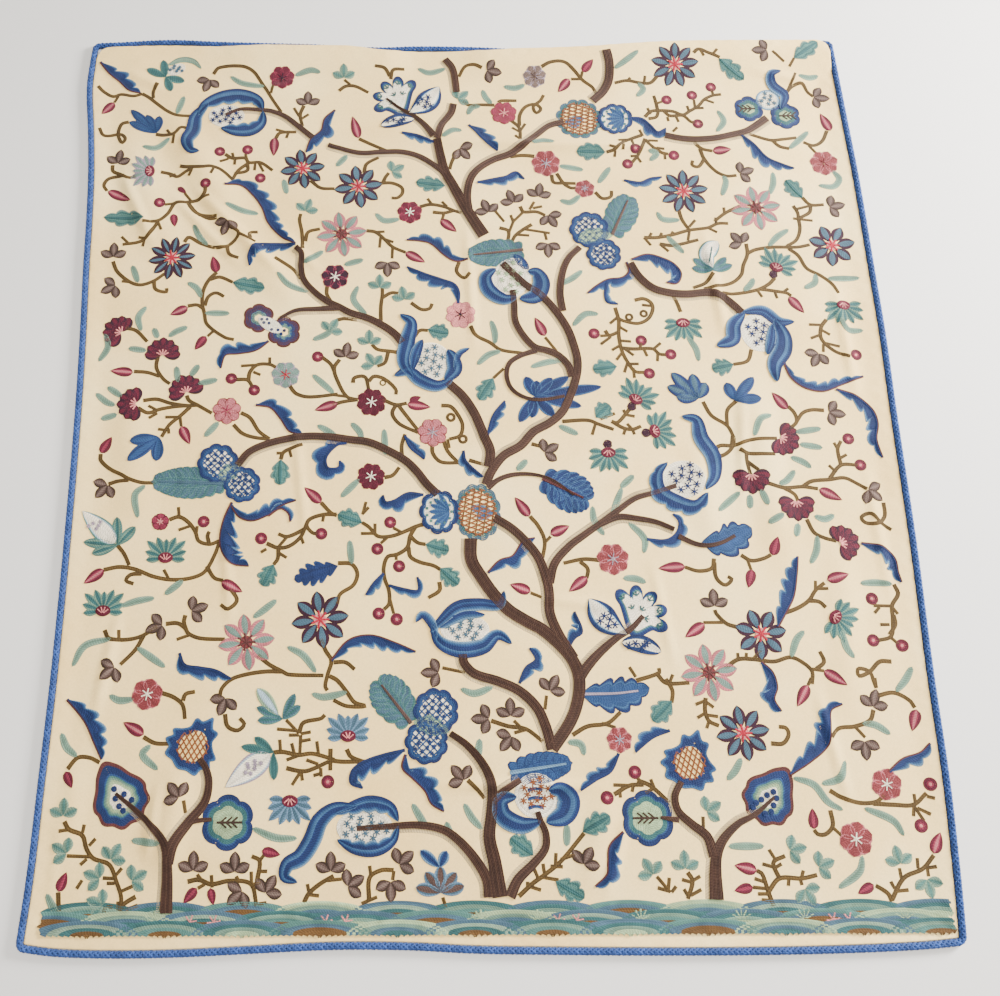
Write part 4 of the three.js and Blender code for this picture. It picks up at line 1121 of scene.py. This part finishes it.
def pod(x, y, across, reach, turn, *seeds):
    """A pear-shaped pod with a wavy edge in nested rims, mint inside, with navy seeds."""
    bands = ("russet", "russet", "navy", "navy", "navy", "navy", "blue", "teal2", "aqua", "mint", "mint",
        "white")
    rows = round(across / ROW)
    a = np.linspace(0, 2 * np.pi, 90)
    neck = np.maximum(np.cos(a), 0)
    u = np.cos(a) * np.where(np.cos(a) > 0, reach, across)
    v = across * np.sin(a) * (1 - 0.5 * neck)
    wave = 1 + 0.05 * np.cos(9 * a) * (1 - neck)
    c, s = np.cos(np.radians(turn)), np.sin(np.radians(turn))
    for k in range(rows):
        far = (1 - (k + 0.5) / rows) * wave
        path = np.column_stack((x + far * (u * c - v * s), y + far * (u * s + v * c)))
        lay("blooms", path, 0.62 * ROW * (1 + 0.35 * neck), bands[min(k, len(bands) - 1)])
    dots(5, "navy", *seeds)


def pineapple(x, y, turn):
    """A small lattice fruit in a ragged navy ruff with a crown."""
    disc("blooms", x, y, 33, ("navy", "blue"), turn=turn, squash=0.82, inner=0.84)
    lattice(x, y, 27, 27, 8, "lattice", (turn, turn + 65))
    half = ((0, 58), (14, 44), (28, 47), (42, 34), (66, 35), (84, 45), (94, 39), (108, 48), (122, 40),
        (138, 47), (156, 40))
    ruff = [toward(x, y, turn + angle, far) for angle, far in half]
    ruff += [toward(x, y, turn + 180, 42)] + [toward(x, y, turn - angle, far) for angle, far in half[:0:-1]]
    patch("blooms", np.ravel(ruff), ("mid", "blue", "navy"), 0.6, 0.62)


# Comma bloom at the upper left and its mate at the lower left
disc("blooms", -478, 1535, 36, ("white",), squash=0.7)
speckle(-480, 1535, 30, 20, 14, "navy", 6)
crescent((-405, 1545, -415, 1570, -450, 1583, -490, 1578, -522, 1560, -535, 1535), 42, 5)
crescent((-488, 1507, -455, 1500, -425, 1503, -407, 1520, -405, 1545), 38, 4)
crescent((-515, 1565, -540, 1535, -545, 1500, -555, 1475, -545, 1452, -527, 1450), 34)
disc("blooms", -200, 183, 46, ("white",), squash=0.62)
speckle(-200, 183, 40, 22, 16, "grey", 6)
crescent((-145, 192, -158, 214, -190, 222, -222, 214, -250, 204), 32, 5)
crescent((-245, 165, -215, 151, -180, 150, -155, 164, -145, 186), 30, 5)
crescent((-212, 217, -250, 214, -275, 195, -288, 165, -305, 140, -326, 128, -330, 108, -308, 100), 34)

# Star leaves and hands
fingers(-605, 1628, 17, ("teal2", "teal", "teal"), -611, 1666, -644, 1646, -566, 1617, -592, 1594)
disc("blooms", -584, 1645, 19, ("white",), squash=0.6, turn=25)
speckle(-584, 1645, 16, 8, 7, "grey", 4)
leaf("blooms", (-602, 1655, -575, 1667, -550, 1663, -533, 1646), 12, blade, ("aqua", "aqua2"), lift=0.3)
fingers(-616, 1496, 19, ("blue", "navy", "blue"), -670, 1550, -638, 1538, -612, 1535, -672, 1522)
fingers(-574, 856, 22, ("blue", "navy", "blue"), -626, 848, -628, 811, -577, 811)
fingers(478, 922, 21, ("blue", "navy", "blue"), 466, 957, 517, 967, 527, 925)
fingers(412, 926, 24, ("navy", "navy", "blue", "grey"), 367, 977, 405, 975, 429, 957, 357, 950, 372, 930)
fingers(112, 932, 21, ("mid", "navy", "navy"), 97, 971, 118, 963, 146, 968, 176, 970, 236, 950, 197, 912,
    146, 893)
fingers(112, 932, 21, ("mid", "navy", "navy"), 82, 882, 105, 890)
fingers(-78, 84, 20, ("pale", "grey", "taupe", "taupe"), -118, 92, -102, 115, -78, 124, -52, 114, -40, 94)
fingers(-79, 122, 17, ("pale", "blue", "navy"), -110, 148, -67, 147)
fingers(-338, 356, 15, ("teal2", "grey", "teal"), -318, 398, -308, 378, -380, 354, -382, 376)
fingers(-345, 362, 22, ("mint", "aqua2", "ice"), -382, 407)
fingers(-352, 302, 15, ("teal2", "teal"), -406, 312, -384, 327, -350, 258)
leaf("blooms", (-358, 300, -430, 247), 40, drop, ("mauve", "ice", "white"))
speckle(-386, 280, 20, 9, 8, "mauve", 4, 36)
fingers(462, 1184, 16, ("teal2", "teal", "grey"), 424, 1192, 428, 1212, 502, 1198, 492, 1214, 448, 1210)
leaf("blooms", (462, 1190, 455, 1220, 479, 1248), 34, petal, ("teal2", "ice", "white"), lift=0.4)
band("blooms", (456, 1200, 466, 1236), 3, 3, ("teal",), 1.0)
fingers(-636, 656, 18, ("teal2", "aqua", "teal"), -696, 662, -640, 707, -606, 689, -680, 641)
leaf("blooms", (-640, 660, -672, 690, -702, 718), 36, drop, ("teal2", "ice", "white"), lift=0.4)
speckle(-676, 692, 14, 9, 5, "mauve", 4)
leaf("blooms", (-247, 617, -323, 593), 44, lobed(5, 0.55), ("blue", "navy", "navy"), lean=0.5)
leaf("blooms", (165, 395, 225, 393, 282, 405), 62, lobed(5, 0.35),
    ("navy", "navy", "blue", "mid", "blue"), lean=0.4)
band("blooms", (170, 395, 225, 396, 262, 400), 4, 3, ("mauve",), 0.9)
leaf("blooms", (392, 655, 430, 656, 484, 682), 62, lobed(4, 0.35),
    ("navy", "navy", "blue", "mid", "blue"), lean=0.4)
feather(118, 775, 190, 738, 80, ("mid", "blue", "navy"), "russet")

# Tulips, balls with plumes, pomegranates with shields
tulip(-130, 1568, 1)
tulip(268, 525, -1)
feather(276, 1262, 312, 1338, 66, ("teal2", "teal", "grey"), "taupe")
ball(233, 1275, 39)
ball(258, 1222, 34)
leaf("blooms", (210, 1250, 240, 1262, 278, 1262), 36, lobed(4, 0.3), ("aqua2", "aqua", "mint"), lift=0.8)
feather(-452, 768, -570, 772, 62, ("teal2", "teal", "grey"), "grey")
ball(-465, 806, 38)
ball(-420, 766, 34)
leaf("blooms", (-462, 776, -445, 788, -424, 806), 34, lobed(3, 0.3), ("aqua2", "aqua", "mint"), lift=0.8)
feather(-122, 348, -172, 412, 72, ("teal2", "teal", "grey"), "taupe")
ball(-80, 368, 39)
ball(-97, 318, 37)
leaf("blooms", (-118, 350, -90, 345, -58, 334), 34, lobed(4, 0.3), ("aqua2", "aqua", "mint"), lift=0.8)
pomegranate(228, 1523, 47, 48)
shield(300, 1523, 36, 36, 180)
fingers(200, 1518, 18, ("pale", "mid"), 238, 1524, 228, 1508)
pomegranate(0, 713, 43, 54)
shield(-68, 714, 36, 42, 180)
fingers(28, 712, 18, ("pale", "mid"), -12, 722, -2, 704)

# Blooms with white hearts and curled blue petals
disc("blooms", -78, 1002, 38, ("white",))
speckle(-78, 1002, 28, 30, 12, "grey", 7)
crescent((-36, 968, -66, 955, -96, 966, -120, 984, -146, 974), 30, 0)
crescent((-110, 970, -126, 1000, -118, 1045, -112, 1082, -134, 1098), 34)
crescent((-112, 985, -104, 1018, -92, 1046), 24)
crescent((-52, 962, -32, 985, -36, 1010, -46, 1026), 34)
crescent((-34, 985, -24, 1016, -5, 1028), 14)
disc("blooms", 540, 1058, 36, ("white",), squash=1.1)
speckle(540, 1058, 25, 30, 11, "navy", 7)
crescent((456, 1030, 488, 1042, 494, 1072, 515, 1097), 34)
crescent((510, 1098, 548, 1100, 576, 1078, 606, 1078), 26)
crescent((560, 958, 562, 992, 580, 1020, 584, 1050, 570, 1085), 40)
crescent((548, 1012, 560, 1040, 566, 1075), 24)
disc("blooms", 372, 772, 38, ("white",), squash=0.9)
speckle(376, 772, 30, 28, 12, "navy", 7)
crescent((412, 746, 388, 722, 350, 732, 325, 752, 326, 785, 345, 804), 40, 6)
crescent((408, 752, 428, 776, 430, 815, 412, 850, 405, 885, 378, 892), 36)
disc("blooms", -28, 505, 42, ("white",), squash=0.58)
speckle(-28, 504, 34, 17, 12, "grey", 6)
crescent((42, 572, 34, 548, 0, 550, -40, 545, -72, 518, -88, 500), 26)
crescent((8, 530, -30, 530, -72, 508), 18)
crescent((-86, 512, -72, 482, -38, 468, 4, 474, 28, 494, 52, 480), 32)
crescent((-112, 518, -100, 530, -84, 512, -78, 488), 18)
disc("blooms", 610, 1565, 24, ("pale", "ice", "white"))
speckle(610, 1565, 16, 16, 7, "grey", 5)
crescent((634, 1542, 646, 1575, 625, 1600, 622, 1622, 642, 1630), 26)
round_leaf(570, 1545, 30, 180)
round_leaf(641, 1528, 31, 0)
round_leaf(-424, 192, 44, 0)
round_leaf(262, 196, 44, 180)

# The two hooded blooms on the trunk
disc("blooms", 78, 1172, 36, ("white",), squash=1.25, turn=-30)
speckle(76, 1172, 26, 34, 12, "mint", 6)
crescent((88, 1132, 62, 1130, 36, 1150, 32, 1175, 50, 1192), 34)
crescent((92, 1128, 124, 1132, 138, 1160, 128, 1184, 110, 1186), 40)
leaf("blooms", (86, 1222, 112, 1190), 18, blade, ("navy", "navy", "blue"), lift=0.4)
feather(104, 1232, 8, 1222, 60, ("teal2", "teal", "grey"), "taupe")
disc("blooms", 82, 232, 36, ("white",))
speckle(82, 236, 26, 26, 14, "lattice", 6)
for y in (242, 228, 214):
    band("blooms", (68, y - 2, 80, y + 1, 92, y - 1), 5, 4, ("blue", "navy"), 1.2)
crescent((88, 192, 56, 188, 28, 202, 26, 224, 50, 230), 36)
crescent((96, 190, 128, 200, 138, 225, 122, 242, 102, 240), 44)
feather(40, 268, 134, 282, 52, ("navy", "blue", "blue"), "pale")

# Pods, dotted bloom and pineapples
pod(-602, 230, 47, 66, 119, -613, 245, -596, 237, -610, 230, -583, 228, -603, 218, -596, 211)
pod(464, 226, 43, 60, 52, 436, 212, 442, 219, 451, 224, 461, 231, 472, 236, 476, 226, 470, 215)
dots(5, "navy", 455, 202, 465, 205)
for rim, radius in (("russet", 30), ("navy", 26), ("blue", 20), ("aqua", 15)):
    disc("blooms", -400, 1092, radius, (rim,), 6, 0.16, inner=0.55)
    disc("blooms", -352, 1064, radius + 2, (rim,), 6, 0.16, inner=0.55)
disc("blooms", -378, 1078, 26, ("white",), squash=0.45, turn=-32, lift=0.6)
dots(3.6, "navy", -394, 1089, -384, 1089, -390, 1082, -380, 1081, -375, 1068, -363, 1067, -351, 1066,
    -357, 1059)
pineapple(-487, 312, 55)
pineapple(338, 282, 70)

# The ground: overlapping hillocks of nested arcs, then tufts and pink flowers
HILL_DYES = (
    ("teal", "aqua", "teal2", "hill"), ("grey", "teal", "aqua", "mint"), ("teal2", "grey", "hill", "hill"),
    ("mint", "aqua", "grey", "teal"), ("grey", "aqua2", "teal", "hill"),
)
for row, (base, high, first) in enumerate(((46, 26, -640), (34, 24, -702), (22, 22, -640))):
    for k in range(12):
        x = first + 123 * k
        for ring in range(9):
            a = np.linspace(0.06, np.pi - 0.06, 44)
            far = (9 - ring - 0.5) / 9
            path = np.column_stack((x - 84 * far * np.cos(a), base + high * far * np.sin(a)))
            kept = (path[:, 0] > -716) & (path[:, 0] < 735)
            if kept.sum() > 3:
                wide = 1.9 + 3.4 * np.abs(np.cos(a[kept])) ** 3
                dye = HILL_DYES[(k + 2 * row) % 5][min(ring // 2, 3)]
                lay("hillocks", path[kept], wide, dye, 1.0, 1.2 * row)
for x in (-535, -15, 75, 240, 400, 500, 660):
    spokes("hillocks", x, 42, 3, 17, 5, "mint", 30, 150, 1.6, 1.4)
for x in (-478, -440, -262, -230, 108, 138, 545, 570):
    spokes("hillocks", x, 42, 0, 11, 6, "pink", 10, 360, 1.6, 1.6)


# Meshes
def mesh_object(name, points, quads, thread, bake, material, colours=None):
    """A smooth mesh from arrays, in metres, with its thread map, its bake map and its dyes."""
    mesh = bpy.data.meshes.new(name)
    mesh.vertices.add(len(points))
    mesh.vertices.foreach_set("co", np.ascontiguousarray(points, np.float32).ravel())
    mesh.loops.add(quads.size)
    mesh.loops.foreach_set("vertex_index", quads.ravel().astype(np.int32))
    mesh.polygons.add(len(quads))
    mesh.polygons.foreach_set("loop_start", np.arange(0, quads.size, 4, dtype=np.int32))
    mesh.polygons.foreach_set("use_smooth", np.ones(len(quads), bool))
    mesh.update(calc_edges=True)
    for label, values in (("thread", thread), ("OFBake", bake)):
        layer = mesh.uv_layers.new(name=label)
        layer.data.foreach_set("uv", values[quads.ravel()].astype(np.float32).ravel())
    if colours is not None:
        dye = mesh.color_attributes.new("dye", "FLOAT_COLOR", "POINT")
        dye.data.foreach_set("color", np.column_stack((colours,
            np.ones(len(colours)))).astype(np.float32).ravel())
    mesh.materials.append(material)
    made = bpy.data.objects.new(name, mesh)
    bpy.context.scene.collection.objects.link(made)
    return made


def grid_quads(rows, columns):
    """Corner numbers of a grid's quads, counted row by row."""
    first = (np.arange(rows - 1)[:, None] * columns + np.arange(columns - 1)).ravel()
    return np.column_stack((first, first + 1, first + columns + 1, first + columns))


def over_panel(x, y):
    """Place on the whole panel as a map from 0 to 1."""
    return np.column_stack(((x + 770) / 1560, (y + 15) / 1740))


def stitched(name, rows, material):
    """One mesh of all a piece's rows: each row three points across, its crest raised over both edges."""
    places, heights, colours, thread, quads, count = [], [], [], [], [], 0
    for path, half, dye, rise, lift in rows:
        n = len(path)
        aside = left_of(path) * half[:, None]
        places.append(np.stack((path - aside, path, path + aside), 1).reshape(-1, 2))
        swell = rise * (1 + 0.16 * np.sin(1.9 * np.arange(n) + random.uniform(0, 6)))
        edge = np.full(n, 0.1 + 0.9 * lift)
        heights.append(np.column_stack((edge, swell + lift, edge)).ravel())
        tone = dye * random.normal(1, 0.09) * random.normal(1, 0.05, (n, 1))
        colours.append(np.repeat(np.clip(tone, 0, 1), 3, 0))
        run = np.concatenate(([0], np.cumsum(np.hypot(*np.diff(path, axis=0).T)))) + random.uniform(0, 50)
        thread.append(np.column_stack((np.repeat(run, 3), np.tile((-1.0, 0.0, 1.0), n) * np.repeat(half,
            3))) / 10)
        quads.append(grid_quads(n, 3) + count)
        count += 3 * n
    place = np.concatenate(places)
    height = cloth_height(place[:, 0], place[:, 1]) + np.concatenate(heights)
    points = np.column_stack((place - MIDDLE, height)) / 1000
    quads = np.concatenate(quads)[:, ::-1]
    return mesh_object(
        name, points, quads, np.concatenate(thread), over_panel(*place.T), material, np.concatenate(colours)
    )


def cloth_lines(length):
    """Grid lines across the cloth as distances from one edge, with the hem turned under at both ends."""
    near = np.array((16.0, 8.0, 0.8, 0.0, 0.8, 3.0, 7.0))
    under = np.array((1.0, 1.0, 1.0, 0.4, 0.0, 0.0, 0.0))
    inner = np.linspace(12, length - 12, int((length - 24) / CELL))
    return (
        np.concatenate((near, inner, length - near[::-1])) / length,
        np.concatenate((under, np.zeros(len(inner)), under[::-1])),
    )


def cloth(material):
    """The sheet: a grid between its four drawn edges at the cloth's height, its rim turned under as a hem."""
    across, under_across = cloth_lines(1478)
    along, under_along = cloth_lines(1685)
    u, v = np.meshgrid(across, along)
    x, y = -740 + 1478 * u, 1688 * v
    for _ in range(4):
        low, high = through(y, *LEFT_EDGE), through(y, *RIGHT_EDGE)
        x = low + (high - low) * u
        low, high = through(x, *BOTTOM_EDGE), top_edge(x)
        y = low + (high - low) * v
    under = np.maximum(under_along[:, None], under_across[None, :])
    z = cloth_height(x, y) - HEM_TURN * under
    points = np.column_stack((x.ravel() - MIDDLE[0], y.ravel() - MIDDLE[1], z.ravel())) / 1000
    place = np.column_stack((x.ravel(), y.ravel()))
    return mesh_object(
        "twill_panel", points, grid_quads(*x.shape), place / 10, over_panel(*place.T), material
    )


def cord_route(samples):
    """The cord's middle line anticlockwise round the cloth, an arc at each corner, evenly sampled."""
    t = np.linspace(0, 1, 400)
    low_y, high_y = -2.0, 1700.0
    x_low = np.array((through(low_y, *LEFT_EDGE) - SEAM, through(low_y, *RIGHT_EDGE) + SEAM))
    x_high = np.array((through(high_y, *LEFT_EDGE) - SEAM, through(high_y, *RIGHT_EDGE) + SEAM))
    bottom_x = x_low[0] + 9 + (np.ptp(x_low) - 18) * t
    top_x = x_high[1] - 9 - (np.ptp(x_high) - 18) * t
    start, end = through(x_low, *BOTTOM_EDGE) - SEAM, top_cord(x_high)
    right_y = start[1] + 9 + (end[1] - start[1] - 18) * t
    left_y = end[0] - 9 - (end[0] - start[0] - 18) * t
    sides = (
        np.column_stack((bottom_x, through(bottom_x, *BOTTOM_EDGE) - SEAM)),
        np.column_stack((through(right_y, *RIGHT_EDGE) + SEAM, right_y)),
        np.column_stack((top_x, top_cord(top_x))),
        np.column_stack((through(left_y, *LEFT_EDGE) - SEAM, left_y)),
    )
    corners = ((x_low[1], start[1]), (x_high[1], end[1]), (x_high[0], end[0]), (x_low[0], start[0]))
    s = np.linspace(0, 1, 12)[1:-1, None]
    route = []
    for k, side in enumerate(sides):
        after = sides[(k + 1) % 4][0]
        route += [side, (1 - s) ** 2 * side[-1] + 2 * s * (1 - s) * np.array(corners[k]) + s * s * after]
    route = np.concatenate(route + [sides[0][:1]])
    run = np.concatenate(([0], np.cumsum(np.hypot(*np.diff(route, axis=0).T))))
    even = np.linspace(0, run[-1], samples)
    return np.column_stack((np.interp(even, run, route[:, 0]), np.interp(even, run, route[:, 1]))), even


def cord(material):
    """An eight-strand round braid: four helices each way, each passing over and under the others."""
    samples, sides, pitch = 1900, 5, 33.6
    path, run = cord_route(samples)
    turns = round(run[-1] / pitch)
    outward = -left_of(path)
    around = np.linspace(0, 2 * np.pi, sides + 1)
    points, thread, bake, colours, quads = [], [], [], [], []
    for k in range(8):
        way = 1 if k < 4 else -1
        angle = way * 2 * np.pi * turns * run / run[-1] + (k % 4) * np.pi / 2
        weave = 3.75 + 0.45 * way * np.cos(8 * np.pi * turns * run / run[-1] + (k % 4) * np.pi)
        out = weave * np.cos(angle)
        up = weave * np.sin(angle)
        ring_out = out[:, None] + 2.15 * np.cos(around)[None, :]
        ring_up = up[:, None] + 2.0 * np.sin(around)[None, :]
        place = path[:, None, :] + outward[:, None, :] * ring_out[:, :, None]
        height = np.maximum(5.6 + ring_up, 0.05)
        points.append(np.column_stack((place.reshape(-1, 2) - MIDDLE, height.ravel())) / 1000)
        u, v = np.meshgrid(run, around / (2 * np.pi), indexing="ij")
        thread.append(np.column_stack((u.ravel() / 10, v.ravel())))
        bake.append(np.column_stack((u.ravel() / run[-1], (k + 0.05 + 0.9 * v.ravel()) / 8)))
        colours.append(np.repeat(CORD_BLUE[None, :] * (0.85 + 0.3 * (k % 4 == 1)), u.size, 0))
        quads.append(grid_quads(samples, sides + 1)[:, ::-1] + k * u.size)
    return mesh_object(
        "braided_cord", np.concatenate(points), np.concatenate(quads), np.concatenate(thread),
        np.concatenate(bake), material, np.concatenate(colours)
    )


CORD_BLUE = linear("#2A4682")


# Materials
def add(tree, kind, inputs=None, **settings):
    """A shader node with its settings; an input is a constant or another node's output."""
    made = tree.nodes.new("ShaderNode" + kind)
    for key, value in settings.items():
        setattr(made, key, value)
    for key, value in (inputs or {}).items():
        if isinstance(value, bpy.types.NodeSocket):
            tree.links.new(value, made.inputs[key])
        else:
            made.inputs[key].default_value = value
    return made


def ramp(tree, factor, *stops):
    """A colour ramp over a factor, its stops as place and linear colour."""
    made = add(tree, "ValToRGB", {"Fac": factor})
    made.color_ramp.elements[0].position, made.color_ramp.elements[-1].position = stops[0][0], stops[-1][0]
    for place, _ in stops[1:-1]:
        made.color_ramp.elements.new(place)
    for element, (_, colour) in zip(made.color_ramp.elements, stops):
        element.color = (*colour, 1.0)
    return made.outputs["Color"]


def grey(v):
    return (v, v, v)


def new_material(name):
    made = bpy.data.materials.new(name)
    made.use_nodes = True
    return made, made.node_tree, made.node_tree.nodes["Principled BSDF"]


def wool_thread(name, twist_scale, depth):
    """Dull hairy yarn: the row's own dye, mottled, with painted light and shade in fine slanting twist bands
    over each row.
    """
    made, tree, shader = new_material(name)
    place = add(tree, "TexCoord").outputs["Object"]
    along = add(tree, "UVMap", uv_map="thread").outputs["UV"]
    dye = add(tree, "Attribute", attribute_name="dye").outputs["Color"]
    twist = add(
        tree, "TexWave", {"Vector": along, "Scale": twist_scale, "Distortion": 1.5, "Detail": 2.0},
        wave_type="BANDS", bands_direction="DIAGONAL",
    ).outputs["Fac"]
    fuzz = add(tree, "TexNoise", {"Vector": place, "Scale": 420.0, "Detail": 3.0}).outputs["Fac"]
    wear = add(tree, "TexNoise", {"Vector": place, "Scale": 38.0, "Detail": 2.0}).outputs["Fac"]
    shade = ramp(tree, wear, (0.3, grey(0.84)), (0.7, grey(1.14)))
    worn = add(tree, "MixRGB", {"Fac": 1.0, "Color1": dye, "Color2": shade},
        blend_type="MULTIPLY").outputs["Color"]
    # painted light and shade: the twist bands lighten and darken the dye, as light falls on the plies' crests
    # and shade in their grooves
    lit = ramp(tree, twist, (0.05, grey(0.72)), (0.6, grey(1.1)))
    dye_with_painted_twist_shade = add(tree, "MixRGB", {"Fac": 1.0, "Color1": worn, "Color2": lit},
        blend_type="MULTIPLY").outputs["Color"]
    rough = add(tree, "Math", {0: twist, 1: fuzz}, operation="ADD").outputs["Value"]
    bump = add(tree, "Bump", {"Height": rough, "Strength": 0.6, "Distance": depth}).outputs["Normal"]
    tree.links.new(dye_with_painted_twist_shade, shader.inputs["Base Color"])
    tree.links.new(bump, shader.inputs["Normal"])
    shader.inputs["Roughness"].default_value = 0.88
    shader.inputs["Sheen Weight"].default_value = 0.12
    shader.inputs["Specular IOR Level"].default_value = 0.2
    return made


def cotton_twill(name):
    """Unbleached cotton: warm cream, clouded by age, with a slanting twill rib and slubs in the yarn."""
    made, tree, shader = new_material(name)
    place = add(tree, "TexCoord").outputs["Object"]
    # the rib is 1 mm apart on the real cloth and coarsened to 2 mm so that it shows
    rib = add(
        tree, "TexWave", {"Vector": place, "Scale": 314.0, "Distortion": 2.0, "Detail": 2.0,
            "Detail Scale": 1.5},
        wave_type="BANDS", bands_direction="DIAGONAL",
    ).outputs["Fac"]
    slub = add(tree, "TexNoise", {"Vector": place, "Scale": 300.0, "Detail": 4.0}).outputs["Fac"]
    cloud = add(tree, "TexNoise", {"Vector": place, "Scale": 3.2, "Detail": 3.0,
        "Roughness": 0.55}).outputs["Fac"]
    ground = ramp(tree, cloud, (0.3, linear("#DDBC78")), (0.5, linear("#E7C886")), (0.7, linear("#ECD296")))
    grain = ramp(tree, slub, (0.3, grey(0.93)), (0.7, grey(1.04)))
    woven = add(tree, "MixRGB", {"Fac": 1.0, "Color1": ground, "Color2": grain},
        blend_type="MULTIPLY").outputs["Color"]
    rough = add(tree, "Math", {0: rib, 1: slub}, operation="ADD").outputs["Value"]
    bump = add(tree, "Bump", {"Height": rough, "Strength": 0.35, "Distance": 0.0005}).outputs["Normal"]
    tree.links.new(woven, shader.inputs["Base Color"])
    tree.links.new(bump, shader.inputs["Normal"])
    shader.inputs["Roughness"].default_value = 0.92
    shader.inputs["Sheen Weight"].default_value = 0.08
    shader.inputs["Specular IOR Level"].default_value = 0.2
    return made


WOOL = wool_thread("crewel wool", 1.4, 0.0004)
BRAID = wool_thread("braided cotton cord", 2.0, 0.0005)
TWILL = cotton_twill("cotton twill")

panel = cloth(TWILL)
edge = cord(BRAID)
threads = [stitched(name, rows, WOOL) for name, rows in ROWS.items()]
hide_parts("panel_cloth")
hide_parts("edge_cord")
for piece in (panel, *threads):
    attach(piece, "root")
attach(edge, "root")

# Floor, light and camera
floor_mesh = bpy.data.meshes.new("floor")
floor_mesh.from_pydata([(-6, -6, 0), (6, -6, 0), (6, 6, 0), (-6, 6, 0)], [], [(0, 1, 2, 3)])
floor = bpy.data.objects.new("floor", floor_mesh)
bpy.context.scene.collection.objects.link(floor)
pale, _, pale_shader = new_material("pale floor")
pale_shader.inputs["Base Color"].default_value = (0.62, 0.62, 0.62, 1)
pale_shader.inputs["Roughness"].default_value = 0.9
floor_mesh.materials.append(pale)
floor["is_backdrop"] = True

world = bpy.data.worlds.new("studio")
bpy.context.scene.world = world
world.use_nodes = True
world.node_tree.nodes["Background"].inputs["Color"].default_value = (1.0, 0.97, 0.93, 1)
world.node_tree.nodes["Background"].inputs["Strength"].default_value = 0.55


def soft_light(name, place, aim, size, power, colour):
    """A square soft light at a place, turned to its aim."""
    lamp = bpy.data.lights.new(name, "AREA")
    lamp.size = size
    lamp.energy = power
    lamp.color = colour
    holder = bpy.data.objects.new(name, lamp)
    way = np.array(aim, float) - np.array(place, float)
    flat = np.hypot(way[0], way[1])
    holder.location = place
    holder.rotation_euler = (np.arctan2(flat, -way[2]), 0, np.arctan2(way[1], way[0]) - np.pi / 2)
    bpy.context.scene.collection.objects.link(holder)


soft_light("window", (2.8, 1.2, 1.3), (-0.1, -0.1, 0), 1.0, 500, (1.0, 0.96, 0.9))
soft_light("ceiling", (0.2, -0.5, 3.2), (0.1, -0.3, 0), 2.2, 190, (1.0, 0.95, 0.87))

view = bpy.data.cameras.new("camera")
view.sensor_fit = "HORIZONTAL"
view.sensor_width = 36.0
view.lens = 33.48
view.shift_x, view.shift_y = 0.1176, 0.003
camera = bpy.data.objects.new("camera", view)
camera.location = ((-166.7 - MIDDLE[0]) / 1000, (307.2 - MIDDLE[1]) / 1000, 1.605)
camera.rotation_euler = np.radians((14.92, 0.14, -0.25))
bpy.context.scene.collection.objects.link(camera)
bpy.context.scene.camera = camera

low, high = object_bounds()
